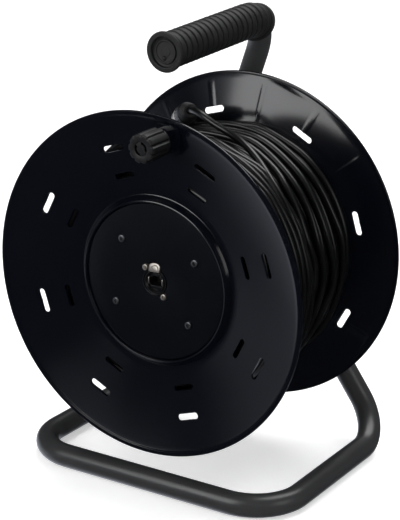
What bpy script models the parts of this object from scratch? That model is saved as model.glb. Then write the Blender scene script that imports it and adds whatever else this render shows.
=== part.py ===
"""A portable network cable reel: a flanged plastic drum that turns on a fixed
axle, carried by one bent steel tube that is stand, legs and carrying handle.

The drum wears a rewind knob, a hub panel with a latching data socket, the wound
cable and the cable's free end with its cable connector.

Lengths at the top are millimetres. In the text below, x runs across the reel,
y runs along the axle from the socket side (negative) to the frame side, and z is up.
"Drum coordinates" have their origin on the axle, midway between the flange rims.
"""

import math

import bmesh
import bpy
from mathutils import Matrix, Vector

MM = 0.001

# ---------------------------------------------------------------- dimensions
FLANGE_R = 155.0          # drum flange radius
DRUM_W = 175.3            # over both flange rims
SHEET = 2.6               # flange wall
DISH = 0.245              # slope of the dished flange: depth gained per radius lost
LIP_R = 151.3             # where the flat rim ends
CONE_R = 150.2            # where the dished face starts
CONE_DEPTH = 1.25         # its depth there, behind the rim
HUB_RING_R = 73.2         # crest of the raised ring round the hub
HUB_RING_DEPTH = 13.2     # crest depth behind the rim
HUB_DISC_DEPTH = 22.0     # sunk disc inside the ring
LEDGE_DEPTH = 18.8        # step that carries the hub panel
PANEL_DEPTH = 15.5        # front of the hub panel
PANEL_R = 70.1
PANEL_T = 3.0
CORE_R = 80.0             # barrel that the cable is wound on
CORE_WALL = 2.5
SLOT_L, SLOT_W = 22.5, 6.0
OUTER_SLOT_R, INNER_SLOT_R = 121.7, 96.3
FRONT_SLOT_ANGLE, REAR_SLOT_ANGLE = 18.5, 16.3

CABLE_D = 6.3
WINDING_R = 115.2         # outside of the wound cable

TUBE_R, TUBE_BORE = 10.6, 9.1
AXLE_HEIGHT = 191.7       # axle above the floor
HANDLE_Z = 204.2          # handle bar above the axle, carried on to the leg's line
HANDLE_FRONT_Z = 200.1    # the same at the front end of the grip: the bar rises backwards
HANDLE_BEND, REAR_BEND, FRONT_BEND = 40.0, 40.6, 45.5
BEND_STEPS = 6            # facets along each bend
BASE_FRONT_Y, LEG_Y = -86.9, 115.8
BASE_HALF_FRONT, BASE_HALF_REAR = 131.5, 130.0
GRIP_FRONT_Y = -58.4
GRIP_R, GRIP_FLANGE_R, GRIP_END_ANGLE = 16.0, 17.8, 30.0

BOLT_R = 6.0              # axle bolt, M12
SLEEVE_R = 8.0
BEARING_TUBE_R, BEARING_BORE_R = 14.0, 11.35

KNOB_X, KNOB_Z = 19.9, 134.2
KNOB_R, KNOB_FACE_Y, KNOB_BACK_Y = 12.9, -122.5, -95.9
BOSS_X, BOSS_Z, BOSS_CORNER = 15.1, 12.9, 4.5   # half sizes of the square boss under the knob

SOCKET_W, SOCKET_H = 26.0, 31.0
SOCKET_SCREWS = ((-9.5, 12.0), (9.5, -12.0))
PANEL_SCREW_R = 47.9
PANEL_SCREW_ANGLES = (31.3, 105.0 + 30.4, 212.0, 316.9)
TIE_R = 57.0
TIE_ANGLES = (84.0, 174.0, 264.0, 354.0)

# cable connector on the free end: its cable end, and the way it points from
# nose to cable, in drum coordinates
PLUG_END = (-30.0, 30.0, 126.3)
PLUG_WAY = (0.65, -0.66, 0.375)
PLUG_L = 52.0

LATCH_TRAVEL = 1.5

RIM = DRUM_W / 2          # rim planes at y = -RIM and +RIM
PANEL_Y = -RIM + PANEL_DEPTH
FLOOR_Z = -AXLE_HEIGHT
BASE_Z = FLOOR_Z + TUBE_R
AXLE_END_Y = 140.0
MID_Y = -(AXLE_END_Y + KNOB_FACE_Y) / 2   # puts the whole object about y = 0


# ---------------------------------------------------------------- scene
for old in list(bpy.data.objects):
    bpy.data.objects.remove(old, do_unlink=True)

parts = bpy.data.collections.new("network_cable_reel")
tools = bpy.data.collections.new("cutters")
bpy.context.scene.collection.children.link(parts)
bpy.context.scene.collection.children.link(tools)
tools.hide_render = True


def finish(name, rgb, roughness, metallic=0.0):
    made = bpy.data.materials.new(name)
    made.use_nodes = True
    made.diffuse_color = (*rgb, 1.0)
    shader = made.node_tree.nodes["Principled BSDF"]
    shader.inputs["Base Color"].default_value = (*rgb, 1.0)
    shader.inputs["Roughness"].default_value = roughness
    shader.inputs["Metallic"].default_value = metallic
    return made


LOOKS = {
    "coat": ((0.018, 0.018, 0.019), 0.42, 0.0),
    "gloss": ((0.010, 0.011, 0.013), 0.16, 0.0),
    "satin": ((0.012, 0.012, 0.014), 0.38, 0.0),
    "matte": ((0.022, 0.022, 0.023), 0.62, 0.0),
    "rubber": ((0.020, 0.020, 0.021), 0.70, 0.0),
    "jacket": ((0.013, 0.013, 0.014), 0.45, 0.0),
    "zinc": ((0.55, 0.56, 0.58), 0.32, 1.0),
    "nickel": ((0.66, 0.63, 0.58), 0.25, 1.0),
    "nylon": ((0.72, 0.71, 0.66), 0.50, 0.0),
}


def place(x, y, z):
    """Drum coordinates in millimetres to the world, in metres."""
    return Vector((x, y + MID_Y, z + AXLE_HEIGHT)) * MM


def keep(obj, look=None):
    """Puts an object among the parts, with its own material, or among the cutters."""
    if look is None:
        tools.objects.link(obj)
        obj.hide_render = True
        obj.display_type = "WIRE"
    else:
        parts.objects.link(obj)
        obj.data.materials.append(finish(obj.name, *LOOKS[look]))
    return obj


def round_shading(obj, angle=35.0):
    obj.data.shade_smooth()
    obj.data.set_sharp_from_angle(angle=math.radians(angle))


def evaluated_mesh(obj, name):
    bpy.context.view_layer.update()
    graph = bpy.context.evaluated_depsgraph_get()
    return bpy.data.meshes.new_from_object(obj.evaluated_get(graph), depsgraph=graph)


def turned(name, look, profile, segments=48, x=0.0, z=0.0, y=0.0):
    """A turned piece about a line parallel to the axle. The profile is (radius, y)
    points: a closed loop, or an open line from the axis round to the axis."""
    solid = profile[0][0] == 0.0
    area = sum(
        a[0] * b[1] - b[0] * a[1]
        for a, b in zip(profile, profile[1:] + profile[:1])
    )
    if area > 0:
        profile = profile[::-1]
    count = len(profile)
    edges = [(i, i + 1) for i in range(count - 1)]
    if not solid:
        edges.append((count - 1, 0))
    mesh = bpy.data.meshes.new(name)
    mesh.from_pydata([(r * MM, 0.0, a * MM) for r, a in profile], edges, [])
    obj = bpy.data.objects.new(name, mesh)
    keep(obj, look)
    obj.location = place(x, y, z)
    obj.rotation_euler = (-math.pi / 2, 0.0, 0.0)
    turn = obj.modifiers.new("Turn", "SCREW")
    turn.axis = "Z"
    turn.steps = turn.render_steps = segments
    turn.use_merge_vertices = True
    turn.merge_threshold = 0.00001
    return obj


def cylinder(name, look, r, y0, y1, x=0.0, z=0.0, segments=24):
    return turned(name, look, [(0.0, y1), (r, y1), (r, y0), (0.0, y0)], segments, x, z)


def ring(name, look, r_out, r_in, y0, y1, x=0.0, z=0.0, segments=24):
    return turned(
        name, look, [(r_out, y1), (r_out, y0), (r_in, y0), (r_in, y1)], segments, x, z
    )


def block(name, look, xs, ys, zs):
    mesh = bpy.data.meshes.new(name)
    cage = bmesh.new()
    bmesh.ops.create_cube(cage, size=1.0)
    size = [(b - a) * MM for a, b in (xs, ys, zs)]
    bmesh.ops.scale(cage, vec=size, verts=cage.verts)
    cage.to_mesh(mesh)
    cage.free()
    obj = bpy.data.objects.new(name, mesh)
    keep(obj, look)
    obj.location = place(*[(a + b) / 2 for a, b in (xs, ys, zs)])
    return obj


def circle(r, count, x=0.0, z=0.0, start=0.0):
    return [
        (
            x + r * math.cos(start + 2 * math.pi * i / count),
            z + r * math.sin(start + 2 * math.pi * i / count),
        )
        for i in range(count)
    ]


def plate(name, look, loops, y0, y1):
    """Flat outlines in the x-z plane, the inner ones holes, with a thickness along y."""
    flat = bpy.data.curves.new(name, "CURVE")
    flat.dimensions = "2D"
    flat.fill_mode = "BOTH"
    flat.extrude = (y1 - y0) / 2 * MM
    for loop in loops:
        spline = flat.splines.new("POLY")
        spline.points.add(len(loop) - 1)
        for point, (a, b) in zip(spline.points, loop):
            point.co = (a * MM, b * MM, 0.0, 1.0)
        spline.use_cyclic_u = True
    guide = bpy.data.objects.new(name, flat)
    tools.objects.link(guide)
    mesh = evaluated_mesh(guide, name)
    bpy.data.objects.remove(guide, do_unlink=True)
    weld(mesh)
    obj = bpy.data.objects.new(name, mesh)
    keep(obj, look)
    obj.location = place(0.0, (y0 + y1) / 2, 0.0)
    obj.rotation_euler = (math.pi / 2, 0.0, 0.0)
    return obj


def weld(mesh):
    cage = bmesh.new()
    cage.from_mesh(mesh)
    bmesh.ops.remove_doubles(cage, verts=cage.verts, dist=0.000001)
    bmesh.ops.recalc_face_normals(cage, faces=cage.faces)
    cage.to_mesh(mesh)
    cage.free()


def tube(name, look, points, radii, sides=8, facet_down=False):
    """A round bar along points (drum coordinates), with a radius for each point."""
    line = bpy.data.curves.new(name, "CURVE")
    line.dimensions = "3D"
    line.fill_mode = "FULL"
    line.bevel_depth = MM
    line.bevel_resolution = (sides - 4) // 2
    line.use_fill_caps = True
    line.twist_mode = "Z_UP"
    spline = line.splines.new("POLY")
    spline.points.add(len(points) - 1)
    for point, where, radius in zip(spline.points, points, radii):
        point.co = (*place(*where), 1.0)
        point.radius = radius
        point.tilt = math.pi / sides if facet_down else 0.0
    guide = bpy.data.objects.new(name, line)
    tools.objects.link(guide)
    mesh = evaluated_mesh(guide, name)
    bpy.data.objects.remove(guide, do_unlink=True)
    weld(mesh)
    obj = bpy.data.objects.new(name, mesh)
    return keep(obj, look)


def boolean(obj, operation, *others):
    for other in others:
        step = obj.modifiers.new(other.name, "BOOLEAN")
        step.operation = operation
        step.solver = "EXACT"
        step.object = other
    return obj


def cut(obj, *others):
    return boolean(obj, "DIFFERENCE", *others)


def join(obj, *others):
    return boolean(obj, "UNION", *others)


def turn_to(obj, origin, way):
    """Turns a piece made along +y at the drum centre to start at origin and run along way."""
    way = Vector(way).normalized()
    obj.matrix_world = (
        Matrix.Translation(place(*origin))
        @ Vector((0.0, 1.0, 0.0)).rotation_difference(way).to_matrix().to_4x4()
        @ Matrix.Translation(-place(0.0, 0.0, 0.0))
        @ obj.matrix_basis
    )
    return obj


def polar(radius, degrees):
    return radius * math.cos(math.radians(degrees)), radius * math.sin(
        math.radians(degrees)
    )


def rounded(corners, radii, steps=BEND_STEPS):
    """Corner points joined by straights, with an arc of the given radius at each inner one."""
    corners = [Vector(c) for c in corners]
    points = [corners[0]]
    for before, corner, after, radius in zip(corners, corners[1:], corners[2:], radii):
        back, on = (before - corner).normalized(), (after - corner).normalized()
        half = back.angle(on) / 2
        start = corner + back * radius / math.tan(half)
        end = corner + on * radius / math.tan(half)
        centre = corner + (back + on).normalized() * radius / math.sin(half)
        a, b = start - centre, end - centre
        sweep = a.angle(b)
        for i in range(steps + 1):
            t = i / steps
            points.append(
                centre
                + (math.sin((1 - t) * sweep) * a + math.sin(t * sweep) * b)
                / math.sin(sweep)
            )
    points.append(corners[-1])
    return points


def smooth(route, spacing):
    """Points at an even spacing along a smooth curve through the route's points."""
    route = [Vector(p) for p in route]
    ends = [2 * route[0] - route[1]] + route + [2 * route[-1] - route[-2]]
    fine = []
    for p0, p1, p2, p3 in zip(ends, ends[1:], ends[2:], ends[3:]):
        for i in range(24):
            t = i / 24
            fine.append(
                0.5
                * (
                    2 * p1
                    + (p2 - p0) * t
                    + (2 * p0 - 5 * p1 + 4 * p2 - p3) * t * t
                    + (3 * p1 - p0 - 3 * p2 + p3) * t * t * t
                )
            )
    fine.append(route[-1])
    total = sum((b - a).length for a, b in zip(fine, fine[1:]))
    count = max(2, round(total / spacing))
    points, walked, index = [fine[0]], 0.0, 0
    for i in range(1, count):
        target = total * i / count
        while walked + (fine[index + 1] - fine[index]).length < target:
            walked += (fine[index + 1] - fine[index]).length
            index += 1
        step = fine[index + 1] - fine[index]
        points.append(fine[index] + step * (target - walked) / step.length)
    points.append(fine[-1])
    return points


# ---------------------------------------------------------------- frame
leg_top = Vector((0.0, LEG_Y, HANDLE_Z))
left_rear = Vector((-BASE_HALF_REAR, LEG_Y, BASE_Z))
right_rear = Vector((BASE_HALF_REAR, LEG_Y, BASE_Z))
left_front = Vector((-BASE_HALF_FRONT, BASE_FRONT_Y, BASE_Z))
right_front = Vector((BASE_HALF_FRONT, BASE_FRONT_Y, BASE_Z))
left_way = (left_rear - leg_top).normalized()
right_way = (Vector((0.0, LEG_Y, 0.0)) - right_rear).normalized()

# The right leg runs up through the axle and stops short of the left leg, where it is welded.
crossing = left_way.angle(-right_way)
run = (leg_top.z - 0.0) * -left_way.x / -left_way.z
meet_t = run / (-right_way.x + right_way.z * left_way.x / left_way.z)
meeting = Vector((0.0, LEG_Y, 0.0)) + right_way * meet_t
acute = min(crossing, math.pi - crossing)
short = TUBE_R * 1.02 / math.sin(acute) + TUBE_R * 1.02 / math.tan(acute) + 0.4
leg_end = meeting - right_way * short

SIDES = 16
FACET = 1.0 / math.cos(math.pi / SIDES)     # the facets, not the corners, touch the round tube
grip_front = Vector((0.0, GRIP_FRONT_Y, HANDLE_FRONT_Z))
handle_way = (leg_top - grip_front).normalized()
handle_start = grip_front + handle_way * 4.0
path = rounded(
    [handle_start, leg_top, left_rear, left_front, right_front, right_rear, leg_end],
    [HANDLE_BEND, REAR_BEND, FRONT_BEND, FRONT_BEND, REAR_BEND],
)
frame_tube = tube(
    "frame_tube", "coat", path, [TUBE_R * FACET] * len(path), SIDES, facet_down=True
)
bore_path = (
    [path[0] - handle_way * 3.0] + path[1:-1] + [leg_end - right_way * 3.0]
)
frame_bore = tube(
    "frame_bore", None, bore_path, [TUBE_BORE] * len(bore_path), SIDES, facet_down=True
)
weld_collar = tube(
    "weld_collar",
    None,
    [leg_end - right_way * 5.0, leg_end - right_way * 1.5, meeting - right_way * 9.6],
    [TUBE_R + 0.5, TUBE_R + 1.4, TUBE_R + 1.6],
    SIDES,
)
axle_hole = cylinder("axle_hole", None, BOLT_R + 0.35, LEG_Y - 15, LEG_Y + 15)
cut(frame_tube, frame_bore)
join(frame_tube, weld_collar)
cut(frame_tube, axle_hole)

# handle grip: a sleeve along the bar and round the first part of its bend
grip_path = rounded([grip_front, leg_top, left_rear], [HANDLE_BEND])
steps = round(BEND_STEPS * GRIP_END_ANGLE / 90.0)
arc = grip_path[1 : 2 + steps]
last, following = arc[-1], grip_path[2 + steps]
before = (last - arc[-2]).normalized()
on = (following - last).normalized()


def forward(distance):
    return grip_front + handle_way * distance


grip_points = (
    [grip_front, forward(0.8), forward(3.6), forward(4.4), forward(60.0)]
    + arc[:-1]
    + [last - before * 2.2, last - before * 1.5, last + on * 2.0]
)
grip_radii = (
    [GRIP_FLANGE_R - 0.8, GRIP_FLANGE_R, GRIP_FLANGE_R, GRIP_R, GRIP_R]
    + [GRIP_R] * (len(arc) - 1)
    + [GRIP_R, GRIP_FLANGE_R, GRIP_FLANGE_R]
)
handle_grip = tube(
    "handle_grip", "rubber", grip_points, grip_radii, SIDES, facet_down=True
)
grip_bore = tube(
    "grip_bore",
    None,
    [forward(-3.0), forward(60.0)] + arc + [following],
    [(TUBE_R + 0.35) * FACET] * (len(arc) + 3),
    SIDES,
    facet_down=True,
)
grip_mouth = cylinder(
    "grip_mouth", None, 13.3, GRIP_FRONT_Y - 3, GRIP_FRONT_Y + 3.0, 0.0, HANDLE_FRONT_Z
)
cut(handle_grip, grip_bore, grip_mouth)

# plug that closes the tube inside the grip's mouth
grip_cap = turned(
    "grip_end_cap",
    "matte",
    [
        (0.0, GRIP_FRONT_Y + 14.0),
        (8.3, GRIP_FRONT_Y + 14.0),
        (8.6, GRIP_FRONT_Y + 3.7),
        (10.4, GRIP_FRONT_Y + 3.7),
        (10.4, GRIP_FRONT_Y + 2.6),
        (9.4, GRIP_FRONT_Y + 1.8),
        (0.0, GRIP_FRONT_Y + 1.8),
    ],
    24,
    0.0,
    HANDLE_FRONT_Z + 0.2,
)

# ---------------------------------------------------------------- axle
TUBE_FRONT_Y = LEG_Y - TUBE_R * FACET
TUBE_BACK_Y = LEG_Y + TUBE_R * FACET
HEAD_Y = -5.0
axle_bolt = turned(
    "axle_bolt",
    "zinc",
    [
        (0.0, AXLE_END_Y),
        (BOLT_R - 0.8, AXLE_END_Y),
        (BOLT_R, AXLE_END_Y - 0.9),
        (BOLT_R, HEAD_Y + 4.0),
        (0.0, HEAD_Y + 4.0),
    ],
    24,
)
axle_head = plate("axle_head", None, [circle(10.9, 6)], HEAD_Y, HEAD_Y + 7.8)
join(axle_bolt, axle_head)
ring("axle_head_washer", "zinc", 13.0, BOLT_R + 0.35, HEAD_Y + 8.2, HEAD_Y + 9.7)
ring("axle_sleeve", "zinc", SLEEVE_R, BOLT_R + 0.35, HEAD_Y + 10.0, TUBE_FRONT_Y - 0.3)
ring("thrust_washer", "zinc", 13.0, SLEEVE_R + 0.35, TUBE_FRONT_Y - 1.9, TUBE_FRONT_Y - 0.4)
ring("frame_washer", "zinc", 12.0, BOLT_R + 0.35, TUBE_BACK_Y + 0.3, TUBE_BACK_Y + 1.8)
plate(
    "axle_nut",
    "zinc",
    [circle(10.9, 6), circle(BOLT_R + 0.35, 24)],
    TUBE_BACK_Y + 2.1,
    TUBE_BACK_Y + 12.0,
)

# ---------------------------------------------------------------- drum
BUSH_FRONT_Y = HEAD_Y + 10.3          # front face of the front bush's flange
TUBE_END_FRONT = BUSH_FRONT_Y + 2.3   # drum bearing tube, between the bush flanges
TUBE_END_REAR = TUBE_FRONT_Y - 4.6


def cone(radius):
    """Depth of the dished face behind the rim."""
    return CONE_DEPTH + (CONE_R - radius) * DISH


AXIAL = SHEET * 1.03
WALL_R = 77.2                         # outside of the spigot that locates the barrel

outside = [
    (FLANGE_R, 0.0),
    (LIP_R, 0.0),
    (CONE_R, CONE_DEPTH),
    (WALL_R, cone(WALL_R)),
    (75.9, 16.4),
    (75.2, 14.3),
    (74.0, HUB_RING_DEPTH),
    (72.4, HUB_RING_DEPTH),
    (71.2, 14.5),
    (70.5, LEDGE_DEPTH),
    (64.0, LEDGE_DEPTH),
    (63.6, HUB_DISC_DEPTH),
]
SPIGOT_DEPTH = HUB_DISC_DEPTH + SHEET + 7.0
inside = [
    (74.4, HUB_DISC_DEPTH + SHEET),
    (74.4, SPIGOT_DEPTH),
    (WALL_R, SPIGOT_DEPTH),
    (WALL_R, cone(WALL_R) + AXIAL),
    (CONE_R, CONE_DEPTH + AXIAL),
    (LIP_R + 1.0, SHEET + 0.2),
    (FLANGE_R, SHEET),
]


def stadium(length, width, angle, radius):
    """A slot outline with round ends, across the radius at an angle."""
    half, r = (length - width) / 2, width / 2
    ends = [
        (side * half + r * math.cos(a), r * math.sin(a))
        for side, first in ((1, -90), (-1, 90))
        for a in (math.radians(first + 60 * i) for i in range(4))
    ]
    cx, cz = polar(radius, angle)
    ux, uz = -math.sin(math.radians(angle)), math.cos(math.radians(angle))
    vx, vz = math.cos(math.radians(angle)), math.sin(math.radians(angle))
    return [(cx + a * ux + b * vx, cz + a * uz + b * vz) for a, b in ends]


def slot_cutter(name, first, y0, y1):
    loops = []
    for i in range(8):
        loops.append(stadium(SLOT_L, SLOT_W, first + 45 * i, OUTER_SLOT_R))
        loops.append(stadium(SLOT_L - 2.0, SLOT_W - 1.0, first + 45 * i, INNER_SLOT_R))
    return plate(name, None, loops, y0, y1)


# front flange: dished sheet with hub ring, panel ledge and a sunk hub disc
front_flange = turned(
    "front_flange",
    "gloss",
    [(r, -RIM + d) for r, d in outside]
    + [(22.0, -RIM + HUB_DISC_DEPTH), (22.0, -RIM + HUB_DISC_DEPTH + SHEET)]
    + [(r, -RIM + d) for r, d in inside],
)
# the square boss stands on the dish: flush with the rim at its top, proud lower down
boss_outline = []
for sx, sz, first in ((1, 1, 0), (-1, 1, 90), (-1, -1, 180), (1, -1, 270)):
    for i in range(4):
        a = math.radians(first + 30 * i)
        boss_outline.append(
            (
                KNOB_X + sx * (BOSS_X - BOSS_CORNER) + BOSS_CORNER * math.cos(a),
                KNOB_Z + sz * (BOSS_Z - BOSS_CORNER) + BOSS_CORNER * math.sin(a),
            )
        )
knob_boss = plate("knob_boss", None, [boss_outline], -RIM + 0.3, -80.0)
for vertex in knob_boss.data.vertices:
    if vertex.co.z < 0.0:
        x, z = vertex.co.x / MM, vertex.co.y / MM
        foot = -78.3 - (z - 120.4) * 0.228 - (x - 4.5) * 0.029
        vertex.co.z = ((-RIM + 0.3 - 80.0) / 2 - foot) * MM
knob_neck = cylinder("knob_neck", None, 10.8, KNOB_BACK_Y + 0.3, -84.0, KNOB_X, KNOB_Z, 24)
knob_back_boss = cylinder("knob_back_boss", None, 8.0, -82.0, -77.5, KNOB_X, KNOB_Z, 16)
knob_hole = cylinder("knob_hole", None, 4.35, -98.0, -70.0, KNOB_X, KNOB_Z, 16)
join(front_flange, knob_boss, knob_neck, knob_back_boss)
for i, angle in enumerate(PANEL_SCREW_ANGLES):
    x, z = polar(PANEL_SCREW_R, angle)
    join(
        front_flange,
        cylinder(f"panel_post_{i + 1}", None, 4.2, -RIM + LEDGE_DEPTH, -56.0, x, z, 12),
    )
    cut(
        front_flange,
        cylinder(f"panel_pilot_{i + 1}", None, 2.1, -75.0, -50.0, x, z, 10),
    )
for i, angle in enumerate(TIE_ANGLES):
    x, z = polar(TIE_R, angle)
    cut(
        front_flange,
        cylinder(f"tie_hole_front_{i + 1}", None, 2.9, -72.0, -58.0, x, z, 10),
    )
cut(front_flange, knob_hole, slot_cutter("front_slots", FRONT_SLOT_ANGLE, -92.0, -60.0))

# rear flange: the same dish, with the long bearing tube through its hub disc
rear_flange = turned(
    "rear_flange",
    "gloss",
    [(r, RIM - d) for r, d in outside]
    + [
        (BEARING_TUBE_R, RIM - HUB_DISC_DEPTH),
        (BEARING_TUBE_R, TUBE_END_REAR),
        (BEARING_BORE_R, TUBE_END_REAR),
        (BEARING_BORE_R, TUBE_END_FRONT),
        (BEARING_TUBE_R, TUBE_END_FRONT),
        (BEARING_TUBE_R, RIM - HUB_DISC_DEPTH - SHEET),
    ]
    + [(r, RIM - d) for r, d in inside],
)
for i, angle in enumerate(TIE_ANGLES):
    x, z = polar(TIE_R, angle)
    cut(
        rear_flange,
        cylinder(f"tie_hole_rear_{i + 1}", None, 2.9, 58.0, 72.0, x, z, 10),
    )
cut(rear_flange, slot_cutter("rear_slots", REAR_SLOT_ANGLE, 60.0, 92.0))

# barrel between the flanges, over their spigots
CORE_END = RIM - cone(CORE_R - CORE_WALL) - AXIAL - 0.4
LEAD_ANGLE = 309.0
lead_x, lead_z = polar(1.0, LEAD_ANGLE)
LEAD_WAY = Vector((lead_x, 0.0, lead_z))
LEAD_Y = -15.5
drum_core = turned(
    "drum_core",
    "satin",
    [
        (CORE_R, CORE_END),
        (CORE_R, -CORE_END),
        (CORE_R - CORE_WALL, -CORE_END),
        (CORE_R - CORE_WALL, CORE_END),
    ],
)
lead_hole = turn_to(
    cylinder("lead_hole", None, 4.9, 70.0, 90.0, segments=16),
    (0.0, LEAD_Y, 0.0),
    LEAD_WAY,
)
cut(drum_core, lead_hole)

# four long bolts clamp the flanges on the barrel
HEAD_SEAT = RIM - HUB_DISC_DEPTH + 0.3
for i, angle in enumerate(TIE_ANGLES):
    x, z = polar(TIE_R, angle)
    turned(
        f"tie_bolt_{i + 1}",
        "zinc",
        [
            (0.0, HEAD_SEAT + 2.9),
            (2.6, HEAD_SEAT + 2.9),
            (4.5, HEAD_SEAT + 1.2),
            (4.5, HEAD_SEAT),
            (2.45, HEAD_SEAT),
            (2.45, -68.6),
            (0.0, -68.6),
        ],
        12,
        x,
        z,
    )
    plate(
        f"tie_nut_{i + 1}",
        "zinc",
        [circle(4.5, 6, x, z), circle(2.8, 10, x, z)],
        -68.6,
        -RIM + HUB_DISC_DEPTH - 0.3,
    )

# nylon bushes, fixed in the ends of the bearing tube, running on the sleeve
BUSH_BORE = SLEEVE_R + 0.35
turned(
    "bearing_bush_front",
    "nylon",
    [
        (14.0, BUSH_FRONT_Y + 2.0),
        (14.0, BUSH_FRONT_Y),
        (BUSH_BORE, BUSH_FRONT_Y),
        (BUSH_BORE, TUBE_END_FRONT + 18.0),
        (BEARING_BORE_R - 0.35, TUBE_END_FRONT + 18.0),
        (BEARING_BORE_R - 0.35, BUSH_FRONT_Y + 2.0),
    ],
    24,
)
turned(
    "bearing_bush_rear",
    "nylon",
    [
        (14.0, TUBE_END_REAR + 2.3),
        (14.0, TUBE_END_REAR + 0.3),
        (BEARING_BORE_R - 0.35, TUBE_END_REAR + 0.3),
        (BEARING_BORE_R - 0.35, TUBE_END_REAR - 18.0),
        (BUSH_BORE, TUBE_END_REAR - 18.0),
        (BUSH_BORE, TUBE_END_REAR + 2.3),
    ],
    24,
)

# ---------------------------------------------------------------- hub panel and socket
PANEL_BACK_Y = PANEL_Y + PANEL_T

# round hole for the socket's barrel, with a bay above it for the latch's tab
socket_hole = [polar(12.5, 122.4 + 295.2 * i / 24) for i in range(25)] + [
    (6.7, 14.2),
    (5.5, 16.6),
    (3.1, 17.9),
    (-3.1, 17.9),
    (-5.5, 16.6),
    (-6.7, 14.2),
]
hub_panel = plate(
    "hub_panel",
    "satin",
    [circle(PANEL_R, 48), socket_hole]
    + [circle(2.1, 10, *polar(PANEL_SCREW_R, a)) for a in PANEL_SCREW_ANGLES]
    + [circle(1.65, 8, x, z) for x, z in SOCKET_SCREWS],
    PANEL_Y,
    PANEL_BACK_Y,
)


def screw(name, x, z, seat, head_r, head_h, shank_r, shank_l, look):
    return turned(
        name,
        look,
        [
            (0.0, seat + shank_l),
            (shank_r, seat + shank_l),
            (shank_r, seat),
            (head_r, seat),
            (head_r, seat - head_h * 0.45),
            (head_r * 0.62, seat - head_h),
            (0.0, seat - head_h),
        ],
        12,
        x,
        z,
    )


for i, angle in enumerate(PANEL_SCREW_ANGLES):
    x, z = polar(PANEL_SCREW_R, angle)
    screw(f"panel_screw_{i + 1}", x, z, PANEL_Y - 0.3, 3.3, 1.2, 1.75, 15.0, "zinc")

# the socket's plate is behind the panel, and its barrel comes through the hole
PLATE_FRONT_Y = PANEL_BACK_Y + 0.3
PLATE_BACK_Y = PLATE_FRONT_Y + 1.7
SOCKET_FRONT_Y = PANEL_Y - 0.9
corner_r = 3.5
plate_outline = [
    (
        sx * (SOCKET_W / 2 - corner_r) + corner_r * math.cos(math.radians(a)),
        sz * (SOCKET_H / 2 - corner_r) + corner_r * math.sin(math.radians(a)),
    )
    for sx, sz, first in ((1, 1, 0), (-1, 1, 90), (-1, -1, 180), (1, -1, 270))
    for a in range(first, first + 91, 30)
]
socket_shell = plate(
    "socket_shell",
    "satin",
    [plate_outline] + [circle(1.65, 8, x, z) for x, z in SOCKET_SCREWS],
    PLATE_FRONT_Y,
    PLATE_BACK_Y,
)
join(
    socket_shell,
    cylinder("socket_barrel", None, 12.1, SOCKET_FRONT_Y, -49.5),
)
cut(
    socket_shell,
    cylinder("socket_mouth", None, 8.2, SOCKET_FRONT_Y - 5, -69.4),
    block("socket_chamber", None, (-8.0, 8.0), (-70.0, -45.0), (-7.0, 7.0)),
    block("latch_notch", None, (-6.6, 6.6), (SOCKET_FRONT_Y - 5, PLATE_FRONT_Y), (8.55, 20)),
    block("latch_way", None, (-2.9, 2.9), (SOCKET_FRONT_Y - 5, -62.0), (8.7, 11.0)),
)

socket_insert = block("socket_insert", "satin", (-7.7, 7.7), (-69.7, -46.0), (-6.7, 6.7))
cut(
    socket_insert,
    block("jack_front", None, (-6.1, 6.1), (-75.0, -59.4), (-4.3, 4.3)),
    block("jack_rear", None, (-6.1, 6.1), (-58.0, -40.0), (-4.3, 4.3)),
)

# latch: a thumb tab on a stem, pushed in to let the cable connector go
TAB_BACK_Y = PLATE_FRONT_Y - LATCH_TRAVEL - 0.6
tab_outline = [
    (-5.9, 9.0),
    (5.9, 9.0),
    (5.9, 13.8),
    (4.9, 15.8),
    (2.8, 17.0),
    (0.0, 17.4),
    (-2.8, 17.0),
    (-4.9, 15.8),
    (-5.9, 13.8),
]
socket_latch = plate("socket_latch", "nickel", [tab_outline], TAB_BACK_Y - 3.2, TAB_BACK_Y)
join(
    socket_latch,
    block("latch_stem", None, (-2.6, 2.6), (TAB_BACK_Y - 1.0, -65.0), (9.02, 10.7)),
)
for i, (x, z) in enumerate(SOCKET_SCREWS):
    screw(f"socket_screw_{i + 1}", x, z, PANEL_Y - 0.3, 2.8, 1.3, 1.3, 9.0, "nickel")

# ---------------------------------------------------------------- cable inside the hub
inner_plug = block("inner_plug", "nylon", (-5.75, 5.75), (-57.5, -38.5), (-3.95, 3.95))
lead_route = [
    (0.0, -38.0, 0.0),
    (0.0, -33.0, 0.0),
    (0.8 * LEAD_WAY.x, -28.0, 0.8 * LEAD_WAY.z),
    (5.5 * LEAD_WAY.x, -21.3, 5.5 * LEAD_WAY.z),
    (14.0 * LEAD_WAY.x, -16.8, 14.0 * LEAD_WAY.z),
    (25.0 * LEAD_WAY.x, LEAD_Y, 25.0 * LEAD_WAY.z),
    (45.0 * LEAD_WAY.x, LEAD_Y, 45.0 * LEAD_WAY.z),
    (65.0 * LEAD_WAY.x, LEAD_Y, 65.0 * LEAD_WAY.z),
    (79.8 * LEAD_WAY.x, LEAD_Y, 79.8 * LEAD_WAY.z),
]
lead_points = smooth(lead_route, 6.0)
tube("inner_lead", "jacket", lead_points, [CABLE_D / 2] * len(lead_points), 10)
lead_grommet = turned(
    "lead_grommet",
    "rubber",
    [
        (7.0, 73.4),
        (7.0, 76.2),
        (4.5, 76.2),
        (4.5, 79.4),
        (CABLE_D / 2 + 0.35, 79.4),
        (CABLE_D / 2 + 0.35, 73.4),
    ],
    16,
)
turn_to(lead_grommet, (0.0, LEAD_Y, 0.0), LEAD_WAY)

# ---------------------------------------------------------------- wound cable
def side(radius):
    """Half width of the winding at a radius, just inside the flanges."""
    return RIM - cone(radius) - AXIAL - 0.9


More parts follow.
